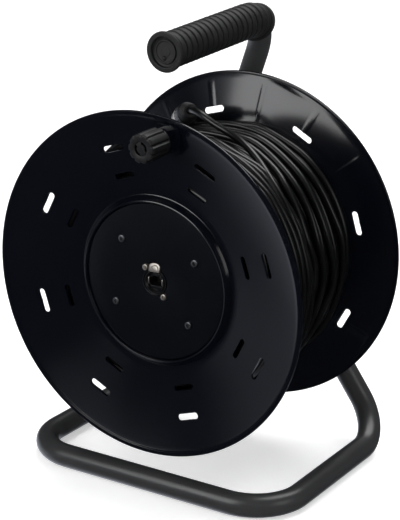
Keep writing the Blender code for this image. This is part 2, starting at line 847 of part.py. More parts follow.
turned(
    "cable_winding",
    "jacket",
    [
        (WINDING_R - 3.0, side(WINDING_R - 3.0)),
        (WINDING_R, side(WINDING_R) - 3.0),
        (WINDING_R, -side(WINDING_R) + 3.0),
        (WINDING_R - 3.0, -side(WINDING_R - 3.0)),
        (CORE_R + 0.4, -side(CORE_R + 0.4)),
        (CORE_R + 0.4, side(CORE_R + 0.4)),
    ],
)

# free end: from the connector down on the winding and round it, under the drum
end_way = Vector(PLUG_WAY).normalized()
plug_end = Vector(PLUG_END)
LAY_R = WINDING_R + CABLE_D / 2 + 0.6


def on_winding(degrees, y):
    x, z = polar(LAY_R, degrees)
    return (x, y, z)


end_route = [
    plug_end - end_way * 9.0,
    plug_end - end_way * 4.5,
    plug_end,
    plug_end + end_way * 3.0,
    (-21.4, 21.2, 128.9),
    (-14.2, 18.0, 126.6),
    (-7.8, 16.7, 123.9),
    (0.5, 16.0, 121.2),
    (10.5, 14.8, 119.4),
] + [
    on_winding(degrees, y)
    for degrees, y in (
        (79.0, 13.2),
        (70.9, 7.5),
        (60.0, -1.6),
        (48.0, -10.6),
        (35.0, -14.2),
        (23.5, -13.6),
        (9.0, -10.1),
        (-2.5, -7.8),
        (-12.0, -5.8),
        (-22.0, -3.8),
        (-32.0, -1.9),
        (-42.0, 0.0),
        (-51.0, 1.7),
        (-58.0, 3.0),
    )
]
end_points = smooth(end_route, 9.0)
tube("cable_end", "jacket", end_points, [CABLE_D / 2] * len(end_points), 8)

# ---------------------------------------------------------------- connector on the free end
def on_plug(obj):
    """Made along y with the connector's cable end at y = 0 and its nose at y = -52."""
    return turn_to(obj, PLUG_END, PLUG_WAY)


plug_nose = turned(
    "plug_nose",
    "nickel",
    [
        (7.8, -PLUG_L + 0.8),
        (7.8, -34.2),
        (9.5, -33.6),
        (9.5, -30.0),
        (6.9, -30.0),
        (6.9, -PLUG_L),
        (7.2, -PLUG_L),
    ],
    20,
)
on_plug(plug_nose)
plug_insert = block("plug_insert", "nylon", (-5.6, 5.6), (-51.2, -30.4), (-3.3, 3.3))
plug_insert.matrix_basis = Matrix.Translation(plug_insert.location)
on_plug(plug_insert)
plug_body = turned(
    "plug_body",
    "satin",
    [
        (9.5, -29.7),
        (9.7, -29.2),
        (9.7, -13.5),
        (9.2, -12.9),
        (CABLE_D / 2 + 0.5, -12.9),
        (CABLE_D / 2 + 0.5, -20.0),
        (7.4, -20.0),
        (7.4, -29.7),
    ],
    20,
)
on_plug(plug_body)
plug_bushing = turned(
    "plug_bushing",
    "rubber",
    [
        (8.9, -12.6),
        (8.9, -9.5),
        (6.6, -0.6),
        (6.0, 0.0),
        (CABLE_D / 2 + 0.35, 0.0),
        (CABLE_D / 2 + 0.35, -12.6),
    ],
    20,
)
on_plug(plug_bushing)

# ---------------------------------------------------------------- rewind knob
flutes = []
for i in range(10):
    base = 2 * math.pi * i / 10
    for step, radius in ((-0.20, KNOB_R), (0.20, KNOB_R), (0.262, KNOB_R - 1.1), (0.366, KNOB_R - 1.1)):
        a = base + step
        flutes.append((KNOB_X + radius * math.cos(a), KNOB_Z + radius * math.sin(a)))
knob = plate(
    "knob",
    "matte",
    [flutes, circle(4.45, 16, KNOB_X, KNOB_Z)],
    KNOB_FACE_Y,
    KNOB_BACK_Y,
)
cut(
    knob,
    cylinder("knob_recess", None, 6.3, KNOB_FACE_Y - 3, KNOB_FACE_Y + 2.9, KNOB_X, KNOB_Z, 20),
)
turned(
    "knob_pin",
    "matte",
    [
        (0.0, -72.0),
        (4.0, -72.0),
        (4.0, KNOB_FACE_Y + 2.5),
        (5.7, KNOB_FACE_Y + 2.5),
        (5.7, KNOB_FACE_Y + 0.7),
        (5.2, KNOB_FACE_Y + 0.3),
        (0.0, KNOB_FACE_Y + 0.3),
    ],
    16,
    KNOB_X,
    KNOB_Z,
)
plate(
    "knob_nut",
    "zinc",
    [circle(6.6, 6, KNOB_X, KNOB_Z), circle(4.35, 16, KNOB_X, KNOB_Z)],
    -77.2,
    -73.2,
)

# ---------------------------------------------------------------- joints' empties
def carrier(name, x, y, z, children, parent=None):
    """An empty on a joint's axis that carries the pieces moving there."""
    empty = bpy.data.objects.new(name, None)
    empty.empty_display_size = 0.02
    parts.objects.link(empty)
    empty.location = place(x, y, z)
    bpy.context.view_layer.update()
    if parent:
        empty.parent = parent
        empty.matrix_parent_inverse = parent.matrix_world.inverted()
        bpy.context.view_layer.update()
    for child in children:
        obj = bpy.data.objects[child]
        obj.parent = empty
        obj.matrix_parent_inverse = empty.matrix_world.inverted()
    return empty


bpy.context.view_layer.update()
FRAME = (
    "frame_tube",
    "handle_grip",
    "grip_end_cap",
    "axle_bolt",
    "axle_head_washer",
    "axle_sleeve",
    "thrust_washer",
    "frame_washer",
    "axle_nut",
)
on_drum = [
    obj.name
    for obj in parts.objects
    if obj.type == "MESH" and obj.name not in FRAME + ("knob", "socket_latch")
]
drum_axis = carrier("drum_axis", 0.0, 0.0, 0.0, on_drum)
carrier("knob_axis", KNOB_X, KNOB_FACE_Y, KNOB_Z, ("knob",), drum_axis)
carrier("latch_axis", 0.0, TAB_BACK_Y, 13.0, ("socket_latch",), drum_axis)

for obj in parts.objects:
    if obj.type == "MESH":
        round_shading(obj)
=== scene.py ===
import math
import random

import bmesh
import bpy
from mathutils import Matrix, Vector


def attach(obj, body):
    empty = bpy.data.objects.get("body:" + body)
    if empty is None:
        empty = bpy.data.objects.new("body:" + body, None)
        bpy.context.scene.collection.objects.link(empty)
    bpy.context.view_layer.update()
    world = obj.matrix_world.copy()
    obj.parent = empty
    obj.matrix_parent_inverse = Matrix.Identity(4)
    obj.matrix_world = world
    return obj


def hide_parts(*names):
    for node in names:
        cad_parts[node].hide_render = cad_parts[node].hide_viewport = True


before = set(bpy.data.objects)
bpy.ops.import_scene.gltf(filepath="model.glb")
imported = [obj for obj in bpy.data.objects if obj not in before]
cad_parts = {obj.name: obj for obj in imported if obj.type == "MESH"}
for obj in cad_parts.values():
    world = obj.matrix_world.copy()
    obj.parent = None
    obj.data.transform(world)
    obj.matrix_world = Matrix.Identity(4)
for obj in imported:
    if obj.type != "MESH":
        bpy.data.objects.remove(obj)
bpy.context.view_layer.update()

MM = 0.001
MID_Y = -8.75
AXLE_HEIGHT = 191.7


def place(x, y, z):
    """Drum coordinates in millimetres to the world, in metres."""
    return Vector((x, y + MID_Y, z + AXLE_HEIGHT)) * MM


# ---------------------------------------------------------------- camera
view = bpy.data.cameras.new("camera")
view.sensor_fit = "VERTICAL"
view.sensor_height = 36.0
view.sensor_width = 36.0
view.lens = 133.95
view.clip_start = 0.05
view.clip_end = 60.0
camera = bpy.data.objects.new("camera", view)
bpy.context.scene.collection.objects.link(camera)
AZ, EL, ROLL, DISTANCE = 0.5656109, 0.3325851, 0.0074611, 11.176959 * 155.0
back = Vector((math.sin(AZ) * math.cos(EL), -math.cos(AZ) * math.cos(EL), math.sin(EL)))
side_way = Vector((math.cos(AZ), math.sin(AZ), 0.0))
up_way = back.cross(side_way)
right = math.cos(ROLL) * side_way + math.sin(ROLL) * up_way
up = -math.sin(ROLL) * side_way + math.cos(ROLL) * up_way
stand = Vector((0.002933 * 155, 0.0, -0.003112 * 155)) + back * DISTANCE
turn = Matrix((right, up, back)).transposed().to_4x4()
camera.matrix_world = Matrix.Translation(place(*stand)) @ turn
bpy.context.scene.camera = camera

# ---------------------------------------------------------------- dimensions, as in the CAD
FLANGE_R = 155.0
DRUM_W = 175.3
RIM = DRUM_W / 2
SHEET = 2.6
CONE_R = 150.2
CONE_DEPTH = 1.25
AXIAL = SHEET * 1.03
PANEL_Y = -RIM + 15.5
CABLE_R = 3.15
TUBE_R, TUBE_BORE = 10.6, 9.1
BASE_Z = -AXLE_HEIGHT + TUBE_R
HANDLE_Z, HANDLE_FRONT_Z = 204.2, 200.1
LEG_Y = 115.8
GRIP_FRONT_Y = -58.4
KNOB_X, KNOB_Z = 19.9, 134.2
PLUG_END = (-30.0, 30.0, 126.3)
PLUG_WAY = (0.65, -0.66, 0.375)
SOCKET_SCREWS = ((-9.5, 12.0), (9.5, -12.0))
PANEL_SCREWS = ((47.9, 31.3), (47.9, 135.4), (47.9, 212.0), (47.9, 316.9))
TIE_ANGLES = (84.0, 174.0, 264.0, 354.0)
FRONT_SLOTS, REAR_SLOTS = 18.5, 16.3


def cone(radius):
    """Depth of the dished face behind the rim. The dish is a little steeper at its rim."""
    t = (radius - 77.2) / 73.0
    return CONE_DEPTH + 73.0 * (0.215 * (1.0 - t) + 0.03 * (1.0 - t**3))


def polar(radius, degrees):
    a = math.radians(degrees)
    return radius * math.cos(a), radius * math.sin(a)


# ---------------------------------------------------------------- mesh tools
pieces = bpy.data.collections.new("pieces")
bpy.context.scene.collection.children.link(pieces)


def build(name, verts, faces, angle=32.0, flip=True):
    """A mesh object from points in drum millimetres."""
    mesh = bpy.data.meshes.new(name)
    mesh.from_pydata([place(*v) for v in verts], [], faces)
    if flip:
        cage = bmesh.new()
        cage.from_mesh(mesh)
        bmesh.ops.recalc_face_normals(cage, faces=cage.faces)
        cage.to_mesh(mesh)
        cage.free()
    obj = bpy.data.objects.new(name, mesh)
    pieces.objects.link(obj)
    shade(obj, angle)
    return obj


def shade(obj, angle=32.0):
    obj.data.shade_smooth()
    obj.data.set_sharp_from_angle(angle=math.radians(angle))


def grid_faces(rows, columns, close_rows=True, close_columns=True):
    """Quads over rows x columns of points, each way closed on itself or open."""
    faces = []
    for i in range(rows if close_rows else rows - 1):
        a, b = i * columns, ((i + 1) % rows) * columns
        for j in range(columns if close_columns else columns - 1):
            k = (j + 1) % columns
            faces.append((a + j, a + k, b + k, b + j))
    return faces


def soften(points, radius, steps=3, closed=True, least=18.0):
    """Rounds the corners of an outline of (a, b) points. Radius is one number, or a
    dictionary from a point's index to its radius with None as the default."""
    count = len(points)
    made = []
    for i, point in enumerate(points):
        r = radius.get(i, radius.get(None, 0.0)) if isinstance(radius, dict) else radius
        if not closed and i in (0, count - 1):
            made.append(point)
            continue
        p = Vector(point)
        u, v = Vector(points[i - 1]) - p, Vector(points[(i + 1) % count]) - p
        lu, lv = u.length, v.length
        if lu < 1e-6 or lv < 1e-6 or r <= 0.0:
            made.append(point)
            continue
        u, v = u / lu, v / lv
        angle = u.angle(v)
        if math.pi - angle < math.radians(least):
            made.append(point)
            continue
        reach = min(r / math.tan(angle / 2), lu * 0.45, lv * 0.45)
        for s in range(steps + 1):
            t = s / steps
            a, b = p + u * reach, p + v * reach
            q = a * (1 - t) ** 2 + p * 2 * t * (1 - t) + b * t**2
            made.append((q.x, q.y))
    return made


def lathe(name, profile, segments=96, x=0.0, z=0.0, start=0.0, angle=32.0, shift=None):
    """A turned piece about a line parallel to the axle. Profile: (radius, y) points,
    a closed outline; where it touches the axis its first and last points are on it."""
    verts, faces = [], []
    solid = profile[0][0] == 0.0
    inner = profile[1:-1] if solid else profile
    for i, (r, y) in enumerate(inner):
        for j in range(segments):
            a = math.radians(start) + 2 * math.pi * j / segments
            dy = shift(r, y, a) if shift else 0.0
            verts.append((x + r * math.cos(a), y + dy, z + r * math.sin(a)))
    faces = grid_faces(len(inner), segments, close_rows=not solid)
    if solid:
        first, last = len(verts), len(verts) + 1
        verts.append((x, profile[0][1], z))
        verts.append((x, profile[-1][1], z))
        end = (len(inner) - 1) * segments
        for j in range(segments):
            k = (j + 1) % segments
            faces.append((first, k, j))
            faces.append((last, end + j, end + k))
    return build(name, verts, faces, angle)


def prism(name, outline, y0, y1, angle=32.0):
    """A flat outline of (x, z) points with a thickness along y."""
    n = len(outline)
    verts = [(a, y0, b) for a, b in outline] + [(a, y1, b) for a, b in outline]
    faces = [tuple(range(n)), tuple(range(2 * n - 1, n - 1, -1))]
    faces += [(i, (i + 1) % n, n + (i + 1) % n, n + i) for i in range(n)]
    return build(name, verts, faces, angle)


def stacked(name, outlines, angle=32.0):
    """Closed outlines with the same number of (x, y, z) points, one above another, with
    both ends filled."""
    n = len(outlines[0])
    verts = [p for outline in outlines for p in outline]
    faces = grid_faces(len(outlines), n, close_rows=False)
    faces.append(tuple(range(n - 1, -1, -1)))
    faces.append(tuple(range(len(verts) - n, len(verts))))
    return build(name, verts, faces, angle)


def frames_along(points):
    """A direction and two cross directions at each point, without twist."""
    ways = []
    for i, p in enumerate(points):
        a, b = points[max(i - 1, 0)], points[min(i + 1, len(points) - 1)]
        ways.append((b - a).normalized())
    n = ways[0].orthogonal().normalized()
    made = []
    for way in ways:
        n = (n - way * n.dot(way)).normalized()
        made.append((way, n, way.cross(n)))
    return made


def ring_at(point, axes, radius, sides):
    way, n, m = axes
    return [
        tuple(point + (n * math.cos(a) + m * math.sin(a)) * radius)
        for a in (2 * math.pi * j / sides for j in range(sides))
    ]


def rod(name, points, radii, sides=16, angle=40.0):
    """A solid round bar along points, with a radius at each point."""
    points = [Vector(p) for p in points]
    axes = frames_along(points)
    verts = []
    for p, f, r in zip(points, axes, radii):
        verts += ring_at(p, f, r, sides)
    faces = grid_faces(len(points), sides, close_rows=False)
    faces.append(tuple(range(sides - 1, -1, -1)))
    faces.append(tuple(range(len(verts) - sides, len(verts))))
    return build(name, verts, faces, angle)


def evaluated(obj):
    bpy.context.view_layer.update()
    graph = bpy.context.evaluated_depsgraph_get()
    return bpy.data.meshes.new_from_object(obj.evaluated_get(graph), depsgraph=graph)


def apply_all(obj, angle=32.0):
    mesh = evaluated(obj)
    old = obj.data
    obj.modifiers.clear()
    obj.data = mesh
    bpy.data.meshes.remove(old)
    shade(obj, angle)
    return obj


def carve(obj, cutters, operation="DIFFERENCE", angle=32.0):
    """Cuts or joins closed objects, and uses them up."""
    for i, cutter in enumerate(cutters):
        step = obj.modifiers.new(f"step{i}", "BOOLEAN")
        step.operation = operation
        step.solver = "EXACT"
        step.object = cutter
    apply_all(obj, angle)
    for cutter in cutters:
        bpy.data.objects.remove(cutter, do_unlink=True)
    return obj


def merge(objs):
    """Several closed objects that don't touch, as one object."""
    cage = bmesh.new()
    for obj in objs:
        cage.from_mesh(obj.data)
    base = objs[0]
    cage.to_mesh(base.data)
    cage.free()
    for obj in objs[1:]:
        bpy.data.objects.remove(obj, do_unlink=True)
    return base


def bevel(obj, width, segments=2, limit=40.0, angle=32.0):
    step = obj.modifiers.new("edges", "BEVEL")
    step.width = width * MM
    step.segments = segments
    step.limit_method = "ANGLE"
    step.angle_limit = math.radians(limit)
    step.use_clamp_overlap = True
    step.miter_outer = "MITER_ARC"
    return apply_all(obj, angle)


def turn_to(obj, origin, way):
    """Turns a piece made along +y at the drum centre to start at origin and run along way."""
    way = Vector(way).normalized()
    move = (
        Matrix.Translation(place(*origin))
        @ Vector((0.0, 1.0, 0.0)).rotation_difference(way).to_matrix().to_4x4()
        @ Matrix.Translation(-place(0.0, 0.0, 0.0))
    )
    obj.data.transform(move)
    return obj


def rounded(corners, radii, steps=24):
    """Corner points joined by straights, with an arc of the given radius at each inner one."""
    corners = [Vector(c) for c in corners]
    points = [corners[0]]
    for before, corner, after, radius in zip(corners, corners[1:], corners[2:], radii):
        back, on = (before - corner).normalized(), (after - corner).normalized()
        half = back.angle(on) / 2
        start = corner + back * radius / math.tan(half)
        end = corner + on * radius / math.tan(half)
        centre = corner + (back + on).normalized() * radius / math.sin(half)
        a, b = start - centre, end - centre
        sweep = a.angle(b)
        for i in range(steps + 1):
            t = i / steps
            points.append(
                centre
                + (math.sin((1 - t) * sweep) * a + math.sin(t * sweep) * b)
                / math.sin(sweep)
            )
    points.append(corners[-1])
    return points


def smooth(route, spacing):
    """Points at an even spacing along a smooth curve through the route's points."""
    route = [Vector(p) for p in route]
    ends = [2 * route[0] - route[1]] + route + [2 * route[-1] - route[-2]]
    fine = []
    for p0, p1, p2, p3 in zip(ends, ends[1:], ends[2:], ends[3:]):
        for i in range(24):
            t = i / 24
            fine.append(
                0.5
                * (
                    2 * p1
                    + (p2 - p0) * t
                    + (2 * p0 - 5 * p1 + 4 * p2 - p3) * t * t
                    + (3 * p1 - p0 - 3 * p2 + p3) * t * t * t
                )
            )
    fine.append(route[-1])
    return even(fine, spacing)


def even(fine, spacing):
    total = sum((b - a).length for a, b in zip(fine, fine[1:]))
    count = max(2, round(total / spacing))
    points, walked, index = [fine[0]], 0.0, 0
    for i in range(1, count):
        target = total * i / count
        while walked + (fine[index + 1] - fine[index]).length < target:
            walked += (fine[index + 1] - fine[index]).length
            index += 1
        step = fine[index + 1] - fine[index]
        points.append(fine[index] + step * (target - walked) / step.length)
    points.append(fine[-1])
    return points


# ---------------------------------------------------------------- materials
def material(name, slot_name=None):
    made = bpy.data.materials.new(slot_name or name)
    made.use_nodes = True
    return made, made.node_tree.nodes, made.node_tree.links, made.node_tree.nodes["Principled BSDF"]


def noise(nodes, links, scale, detail=3.0, rough=0.5, coords=None, stretch=None):
    made = nodes.new("ShaderNodeTexNoise")
    made.inputs["Scale"].default_value = scale
    made.inputs["Detail"].default_value = detail
    made.inputs["Roughness"].default_value = rough
    where = nodes.new("ShaderNodeTexCoord")
    if stretch:
        mapping = nodes.new("ShaderNodeMapping")
        mapping.inputs["Scale"].default_value = stretch
        links.new(where.outputs["Object"], mapping.inputs["Vector"])
        links.new(mapping.outputs["Vector"], made.inputs["Vector"])
    else:
        links.new(where.outputs["Object"], made.inputs["Vector"])
    return made


def span(nodes, links, source, low, high, from_low=0.3, from_high=0.7):
    made = nodes.new("ShaderNodeMapRange")
    made.inputs["From Min"].default_value = from_low
    made.inputs["From Max"].default_value = from_high
    made.inputs["To Min"].default_value = low
    made.inputs["To Max"].default_value = high
    links.new(source, made.inputs["Value"])
    return made.outputs["Result"]


def tint(nodes, links, source, dark, light, low=0.3, high=0.7):
    ramp = nodes.new("ShaderNodeValToRGB")
    ramp.color_ramp.elements[0].position = low
    ramp.color_ramp.elements[1].position = high
    ramp.color_ramp.elements[0].color = (*dark, 1.0)
    ramp.color_ramp.elements[1].color = (*light, 1.0)
    links.new(source, ramp.inputs["Fac"])
    return ramp.outputs["Color"]


def bump(nodes, links, source, shader, strength, distance):
    made = nodes.new("ShaderNodeBump")
    made.inputs["Strength"].default_value = strength
    made.inputs["Distance"].default_value = distance
    links.new(source, made.inputs["Height"])
    links.new(made.outputs["Normal"], shader.inputs["Normal"])
    return made


def look(name, dark, light, rough, grain, metallic=0.0, specular=0.5, relief=0.2,
         depth=0.0001, mottled=8.0, coat=0.0, coat_rough=0.1):
    """A finish with soft colour and gloss variation and a fine surface grain."""
    made, nodes, links, shader = material(name)
    broad = noise(nodes, links, mottled, 4.0, 0.55)
    fine = noise(nodes, links, grain, 2.0, 0.5)
    links.new(tint(nodes, links, broad.outputs["Fac"], dark, light), shader.inputs["Base Color"])
    links.new(span(nodes, links, broad.outputs["Fac"], *rough), shader.inputs["Roughness"])
    shader.inputs["Metallic"].default_value = metallic
    shader.inputs["Specular IOR Level"].default_value = specular
    if coat:
        shader.inputs["Coat Weight"].default_value = coat
        shader.inputs["Coat Roughness"].default_value = coat_rough
    bump(nodes, links, fine.outputs["Fac"], shader, relief, depth)
    return made


POWDER = look("powder_coat", (0.0235, 0.0240, 0.0250), (0.0290, 0.0295, 0.0305), (0.27, 0.35),
              520.0, relief=0.30, depth=0.00008, mottled=14.0, specular=0.42)
GLOSS = look("gloss_black", (0.0013, 0.0017, 0.0034), (0.0021, 0.0026, 0.0048), (0.135, 0.175),
             9.0, relief=0.10, depth=0.0010, mottled=6.0, specular=0.5)
PANEL = look("panel_black", (0.0015, 0.0019, 0.0034), (0.0022, 0.0027, 0.0046), (0.20, 0.27),
             600.0, relief=0.10, depth=0.00003, mottled=9.0, specular=0.5)
SATIN = look("satin_black", (0.0024, 0.0026, 0.0034), (0.0036, 0.0038, 0.0048), (0.30, 0.38),
             900.0, relief=0.25, depth=0.00006, mottled=10.0, specular=0.4)
KNOB_BLACK = look("knob_black", (0.0034, 0.0035, 0.0042), (0.0052, 0.0053, 0.0062), (0.44, 0.54),
                  1000.0, relief=0.25, depth=0.00005, mottled=18.0, specular=0.30)
MATTE = look("matt_black", (0.0085, 0.0085, 0.0090), (0.0120, 0.0120, 0.0125), (0.55, 0.66),
             1100.0, relief=0.3, depth=0.00006, mottled=20.0, specular=0.35)
RUBBER = look("grip_rubber", (0.0075, 0.0076, 0.0082), (0.0110, 0.0111, 0.0118), (0.52, 0.62),
              900.0, relief=0.35, depth=0.00008, mottled=25.0, specular=0.3)
JACKET = look("cable_jacket", (0.0020, 0.0021, 0.0025), (0.0032, 0.0033, 0.0038), (0.28, 0.35),
              700.0, relief=0.18, depth=0.00005, mottled=30.0, specular=0.45)
ZINC = look("zinc_steel", (0.46, 0.47, 0.50), (0.60, 0.61, 0.63), (0.24, 0.36),
            420.0, metallic=1.0, relief=0.2, depth=0.00003, mottled=60.0)
NICKEL = look("nickel_plate", (0.66, 0.61, 0.56), (0.76, 0.70, 0.64), (0.36, 0.46),
              420.0, metallic=1.0, relief=0.12, depth=0.00002, mottled=50.0)
SCREW = look("screw_zinc", (0.15, 0.16, 0.17), (0.24, 0.25, 0.26), (0.34, 0.46),
             420.0, metallic=1.0, relief=0.3, depth=0.00004, mottled=120.0)
WORN_NICKEL = look("worn_nickel", (0.22, 0.20, 0.18), (0.42, 0.39, 0.36), (0.34, 0.46),
                   420.0, metallic=1.0, relief=0.25, depth=0.00004, mottled=160.0)
NYLON = look("natural_nylon", (0.60, 0.58, 0.52), (0.74, 0.72, 0.66), (0.42, 0.5),
             600.0, relief=0.2, depth=0.00005, mottled=30.0)


def wear(obj, finish, body=None, replaces=()):
    obj.data.materials.clear()
    obj.data.materials.append(finish)
    if replaces:
        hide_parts(*replaces)
    if body:
        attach(obj, body)
    return obj


# ---------------------------------------------------------------- loose end of the cable
end_way = Vector(PLUG_WAY).normalized()
plug_end = Vector(PLUG_END)
LAY_R = 118.95


def on_winding(degrees, y):
    x, z = polar(LAY_R, degrees)
    return (x, y, z)


END_TURNS = (
    (79.0, 13.2), (70.9, 7.5), (60.0, -1.6), (48.0, -10.6), (35.0, -14.2), (23.5, -13.6),
    (9.0, -10.1), (-2.5, -7.8), (-12.0, -5.8), (-22.0, -3.8), (-32.0, -1.9), (-42.0, 0.0),
    (-51.0, 1.7), (-58.0, 3.0),
)
end_route = [
    plug_end - end_way * 9.0,
    plug_end - end_way * 4.5,
    plug_end,
    (-23.9, 24.7, 128.8),
    (-17.6, 20.9, 129.5),
    (-10.8, 17.9, 128.6),
    (-3.8, 16.2, 126.1),
    (3.6, 15.3, 122.9),
    (12.4, 14.8, 119.8),
] + [on_winding(degrees, y) for degrees, y in END_TURNS]
end_points = smooth(end_route, 6.0)[::-1]
curve = bpy.data.curves.new("loose_cable", "CURVE")
curve.dimensions = "3D"
curve.bevel_depth = CABLE_R * MM
curve.bevel_resolution = 6
curve.use_fill_caps = True
spline = curve.splines.new("POLY")
spline.points.add(len(end_points) - 1)
for point, where in zip(spline.points, end_points):
    point.co = (*place(*where), 1.0)
spline.use_smooth = True
loose_cable = bpy.data.objects.new("loose_cable", curve)
pieces.objects.link(loose_cable)
wear(loose_cable, JACKET, "drum", ("cable_end",))

# ---------------------------------------------------------------- stand
leg_top = Vector((0.0, LEG_Y, HANDLE_Z))
left_rear = Vector((-130.0, LEG_Y, BASE_Z))
right_rear = Vector((130.0, LEG_Y, BASE_Z))
left_front = Vector((-131.5, -86.9, BASE_Z))
right_front = Vector((131.5, -86.9, BASE_Z))
left_way = (left_rear - leg_top).normalized()
right_way = (Vector((0.0, LEG_Y, 0.0)) - right_rear).normalized()
reach = (leg_top.z * -left_way.x / -left_way.z) / (
    -right_way.x + right_way.z * left_way.x / left_way.z
)
meeting = Vector((0.0, LEG_Y, 0.0)) + right_way * reach
grip_front = Vector((0.0, GRIP_FRONT_Y, HANDLE_FRONT_Z))
handle_way = (leg_top - grip_front).normalized()
handle_start = grip_front + handle_way * 4.0
stand_path = rounded(
    [handle_start, leg_top, left_rear, left_front, right_front, right_rear,
     meeting - right_way * 26.0],
    [40.0, 40.6, 45.5, 45.5, 40.6],
)


def seat_on_leg(point):
    """Where a line up the right leg meets the left leg's surface."""
    rel = point - leg_top
    across = rel - left_way * rel.dot(left_way)
    move = right_way - left_way * right_way.dot(left_way)
    a = move.dot(move)
    b = 2 * across.dot(move)
    c = across.dot(across) - TUBE_R**2
    t = (-b - math.sqrt(max(b * b - 4 * a * c, 0.0))) / (2 * a)
    return point + right_way * t


def stand_tube():
    sides = 48
    axes = frames_along(stand_path)
    rings = [ring_at(p, f, TUBE_R, sides) for p, f in zip(stand_path, axes)]
    bores = [ring_at(p, f, TUBE_BORE, sides) for p, f in zip(stand_path, axes)]
    cope = [tuple(seat_on_leg(Vector(p))) for p in rings[-1]]
    cope_in = [tuple(seat_on_leg(Vector(p))) for p in bores[-1]]
    order = rings + [cope] + [cope_in] + bores[::-1]
    verts = [p for r in order for p in r]
    obj = build("stand_tube", verts, grid_faces(len(order), sides), 50.0)
    hole = lathe("axle_hole", [(0.0, LEG_Y + 15), (6.35, LEG_Y + 15), (6.35, LEG_Y - 15), (0.0, LEG_Y - 15)], 32)
    carve(obj, [hole], angle=50.0)
    return obj, cope


stand_obj, cope = stand_tube()
wear(stand_obj, POWDER, "frame", ("frame_tube",))


def weld_bead():
    loop = [Vector(p) for p in cope]
    fine = even(loop + [loop[0]], 0.42)[:-1]
    count, sides = len(fine), 12
    verts = []
    for i, p in enumerate(fine):
        way = (fine[(i + 1) % count] - fine[i - 1]).normalized()
        rel = p - leg_top
        out_left = (rel - left_way * rel.dot(left_way)).normalized()
        rel = p - meeting
        out_right = (rel - right_way * rel.dot(right_way)).normalized()
        out = (out_left + out_right)
        out = (out - way * out.dot(way)).normalized()
        cross = way.cross(out)
        ripple = 0.5 + 0.5 * math.cos(2 * math.pi * i / count * 30)
        r = 1.75 + 0.22 * ripple + 0.12 * math.sin(i * 0.11)
        centre = p + out * 0.25
        for j in range(sides):
            a = 2 * math.pi * j / sides
            verts.append(tuple(centre + out * r * 0.85 * math.cos(a) + cross * r * 1.25 * math.sin(a)))
    return build("weld_bead", verts, grid_faces(count, sides), 80.0)


wear(weld_bead(), POWDER, "frame")

# ---------------------------------------------------------------- handle grip
grip_line = rounded([grip_front, leg_top, left_rear], [40.0], 60)
grip_fine = even(grip_line[:-1] + [grip_line[-2] + (grip_line[-1] - grip_line[-2]).normalized() * 20.0], 0.5)
grip_axes = frames_along(grip_fine)
STRAIGHT = (grip_line[1] - grip_front).length
GRIP_L = STRAIGHT + 40.0 * math.radians(30.0) + 2.0


def grip_ring(s, r, sides=96):
    if s <= 0.0:
        p, f = grip_fine[0] + handle_way * s, grip_axes[0]
    else:
        step = (grip_fine[1] - grip_fine[0]).length
        i = min(int(s / step), len(grip_fine) - 2)
        t = s / step - i
        p = grip_fine[i].lerp(grip_fine[i + 1], t)
        f = grip_axes[i if t < 0.5 else i + 1]
    return ring_at(p, f, r, sides)


def handle_grip():
    """The rubber sleeve: round ribs all the way between two end flanges."""
    first, last = 5.2, GRIP_L - 4.6
    ribs = 18
    pitch = (last - first) / ribs
    outer = [(0.0, 13.9), (-0.0, 14.6), (0.15, 15.4), (0.0, 16.2), (0.15, 17.0), (0.6, 17.55), (1.3, 17.78), (2.3, 17.75),
             (3.1, 17.4), (3.55, 16.8), (3.8, 15.6), (4.1, 14.5), (4.6, 13.9)]
    samples = 20
    for i in range(ribs * samples + 1):
        phase = i / samples
        off = abs(phase % 1.0 - 0.5)
        rise = min(1.0, (0.5 - off) / 0.17)
        rise = rise * rise * (3.0 - 2.0 * rise)
        outer.append((first + pitch * phase, 13.6 + 2.35 * rise - 0.35 * (off / 0.33) ** 2 * rise))
    outer += [(last + 0.25, 14.6), (last + 0.5, 16.2), (last + 0.85, 17.2), (last + 1.4, 17.68),
              (GRIP_L - 1.3, 17.75), (GRIP_L - 0.6, 17.5), (GRIP_L - 0.1, 16.8),
              (GRIP_L, 16.0), (GRIP_L, 13.0), (GRIP_L - 0.3, 11.4), (GRIP_L - 1.2, 10.95)]
    inner = [(GRIP_L - 10.0 * i, 10.95) for i in range(1, int(GRIP_L / 10) - 1)]
    inner += [(8.0, 10.95), (3.1, 10.95), (3.0, 11.2), (3.0, 12.4), (2.7, 12.9), (0.9, 13.0), (0.3, 13.3)]
    order = [grip_ring(s, r) for s, r in outer + inner]
    verts = [p for r in order for p in r]
    return build("grip_sleeve", verts, grid_faces(len(order), 96), 55.0)


wear(handle_grip(), RUBBER, "frame", ("handle_grip",))


def end_cap():
    """Closes the tube: a rim, a sunk face and the small nub that moulding leaves."""
    y, z = GRIP_FRONT_Y, HANDLE_FRONT_Z + 0.2
    profile = soften(
        [(0.0, y + 14.0), (8.3, y + 14.0), (8.6, y + 3.7), (10.4, y + 3.7), (10.4, y + 2.0), (9.2, y + 1.9),
         (8.6, y + 2.9), (4.6, y + 3.1), (4.2, y + 2.7), (0.0, y + 2.7)],
        {None: 0.35, 4: 0.5, 5: 0.5}, closed=False,
    )
    cap = lathe("grip_end_cap_disc", profile, 64, 0.0, z)
    nub = lathe("nub", [(0.0, y + 3.4)] + [(2.1 * math.cos(t), y + 3.4 - 2.2 * math.sin(t)) for t in
                                           (math.radians(9 * k) for k in range(10))] + [(0.0, y + 1.2)], 32, -1.4, z - 5.9)
    carve(cap, [nub], "UNION", 50.0)
    return cap


wear(end_cap(), MATTE, "frame", ("grip_end_cap",))

# ---------------------------------------------------------------- axle
def hexagon(radius, a):
    """Radius of a hexagon with corner radius at an angle."""
    a = (a % (math.pi / 3)) - math.pi / 6
    return radius * math.cos(math.pi / 6) / math.cos(a)


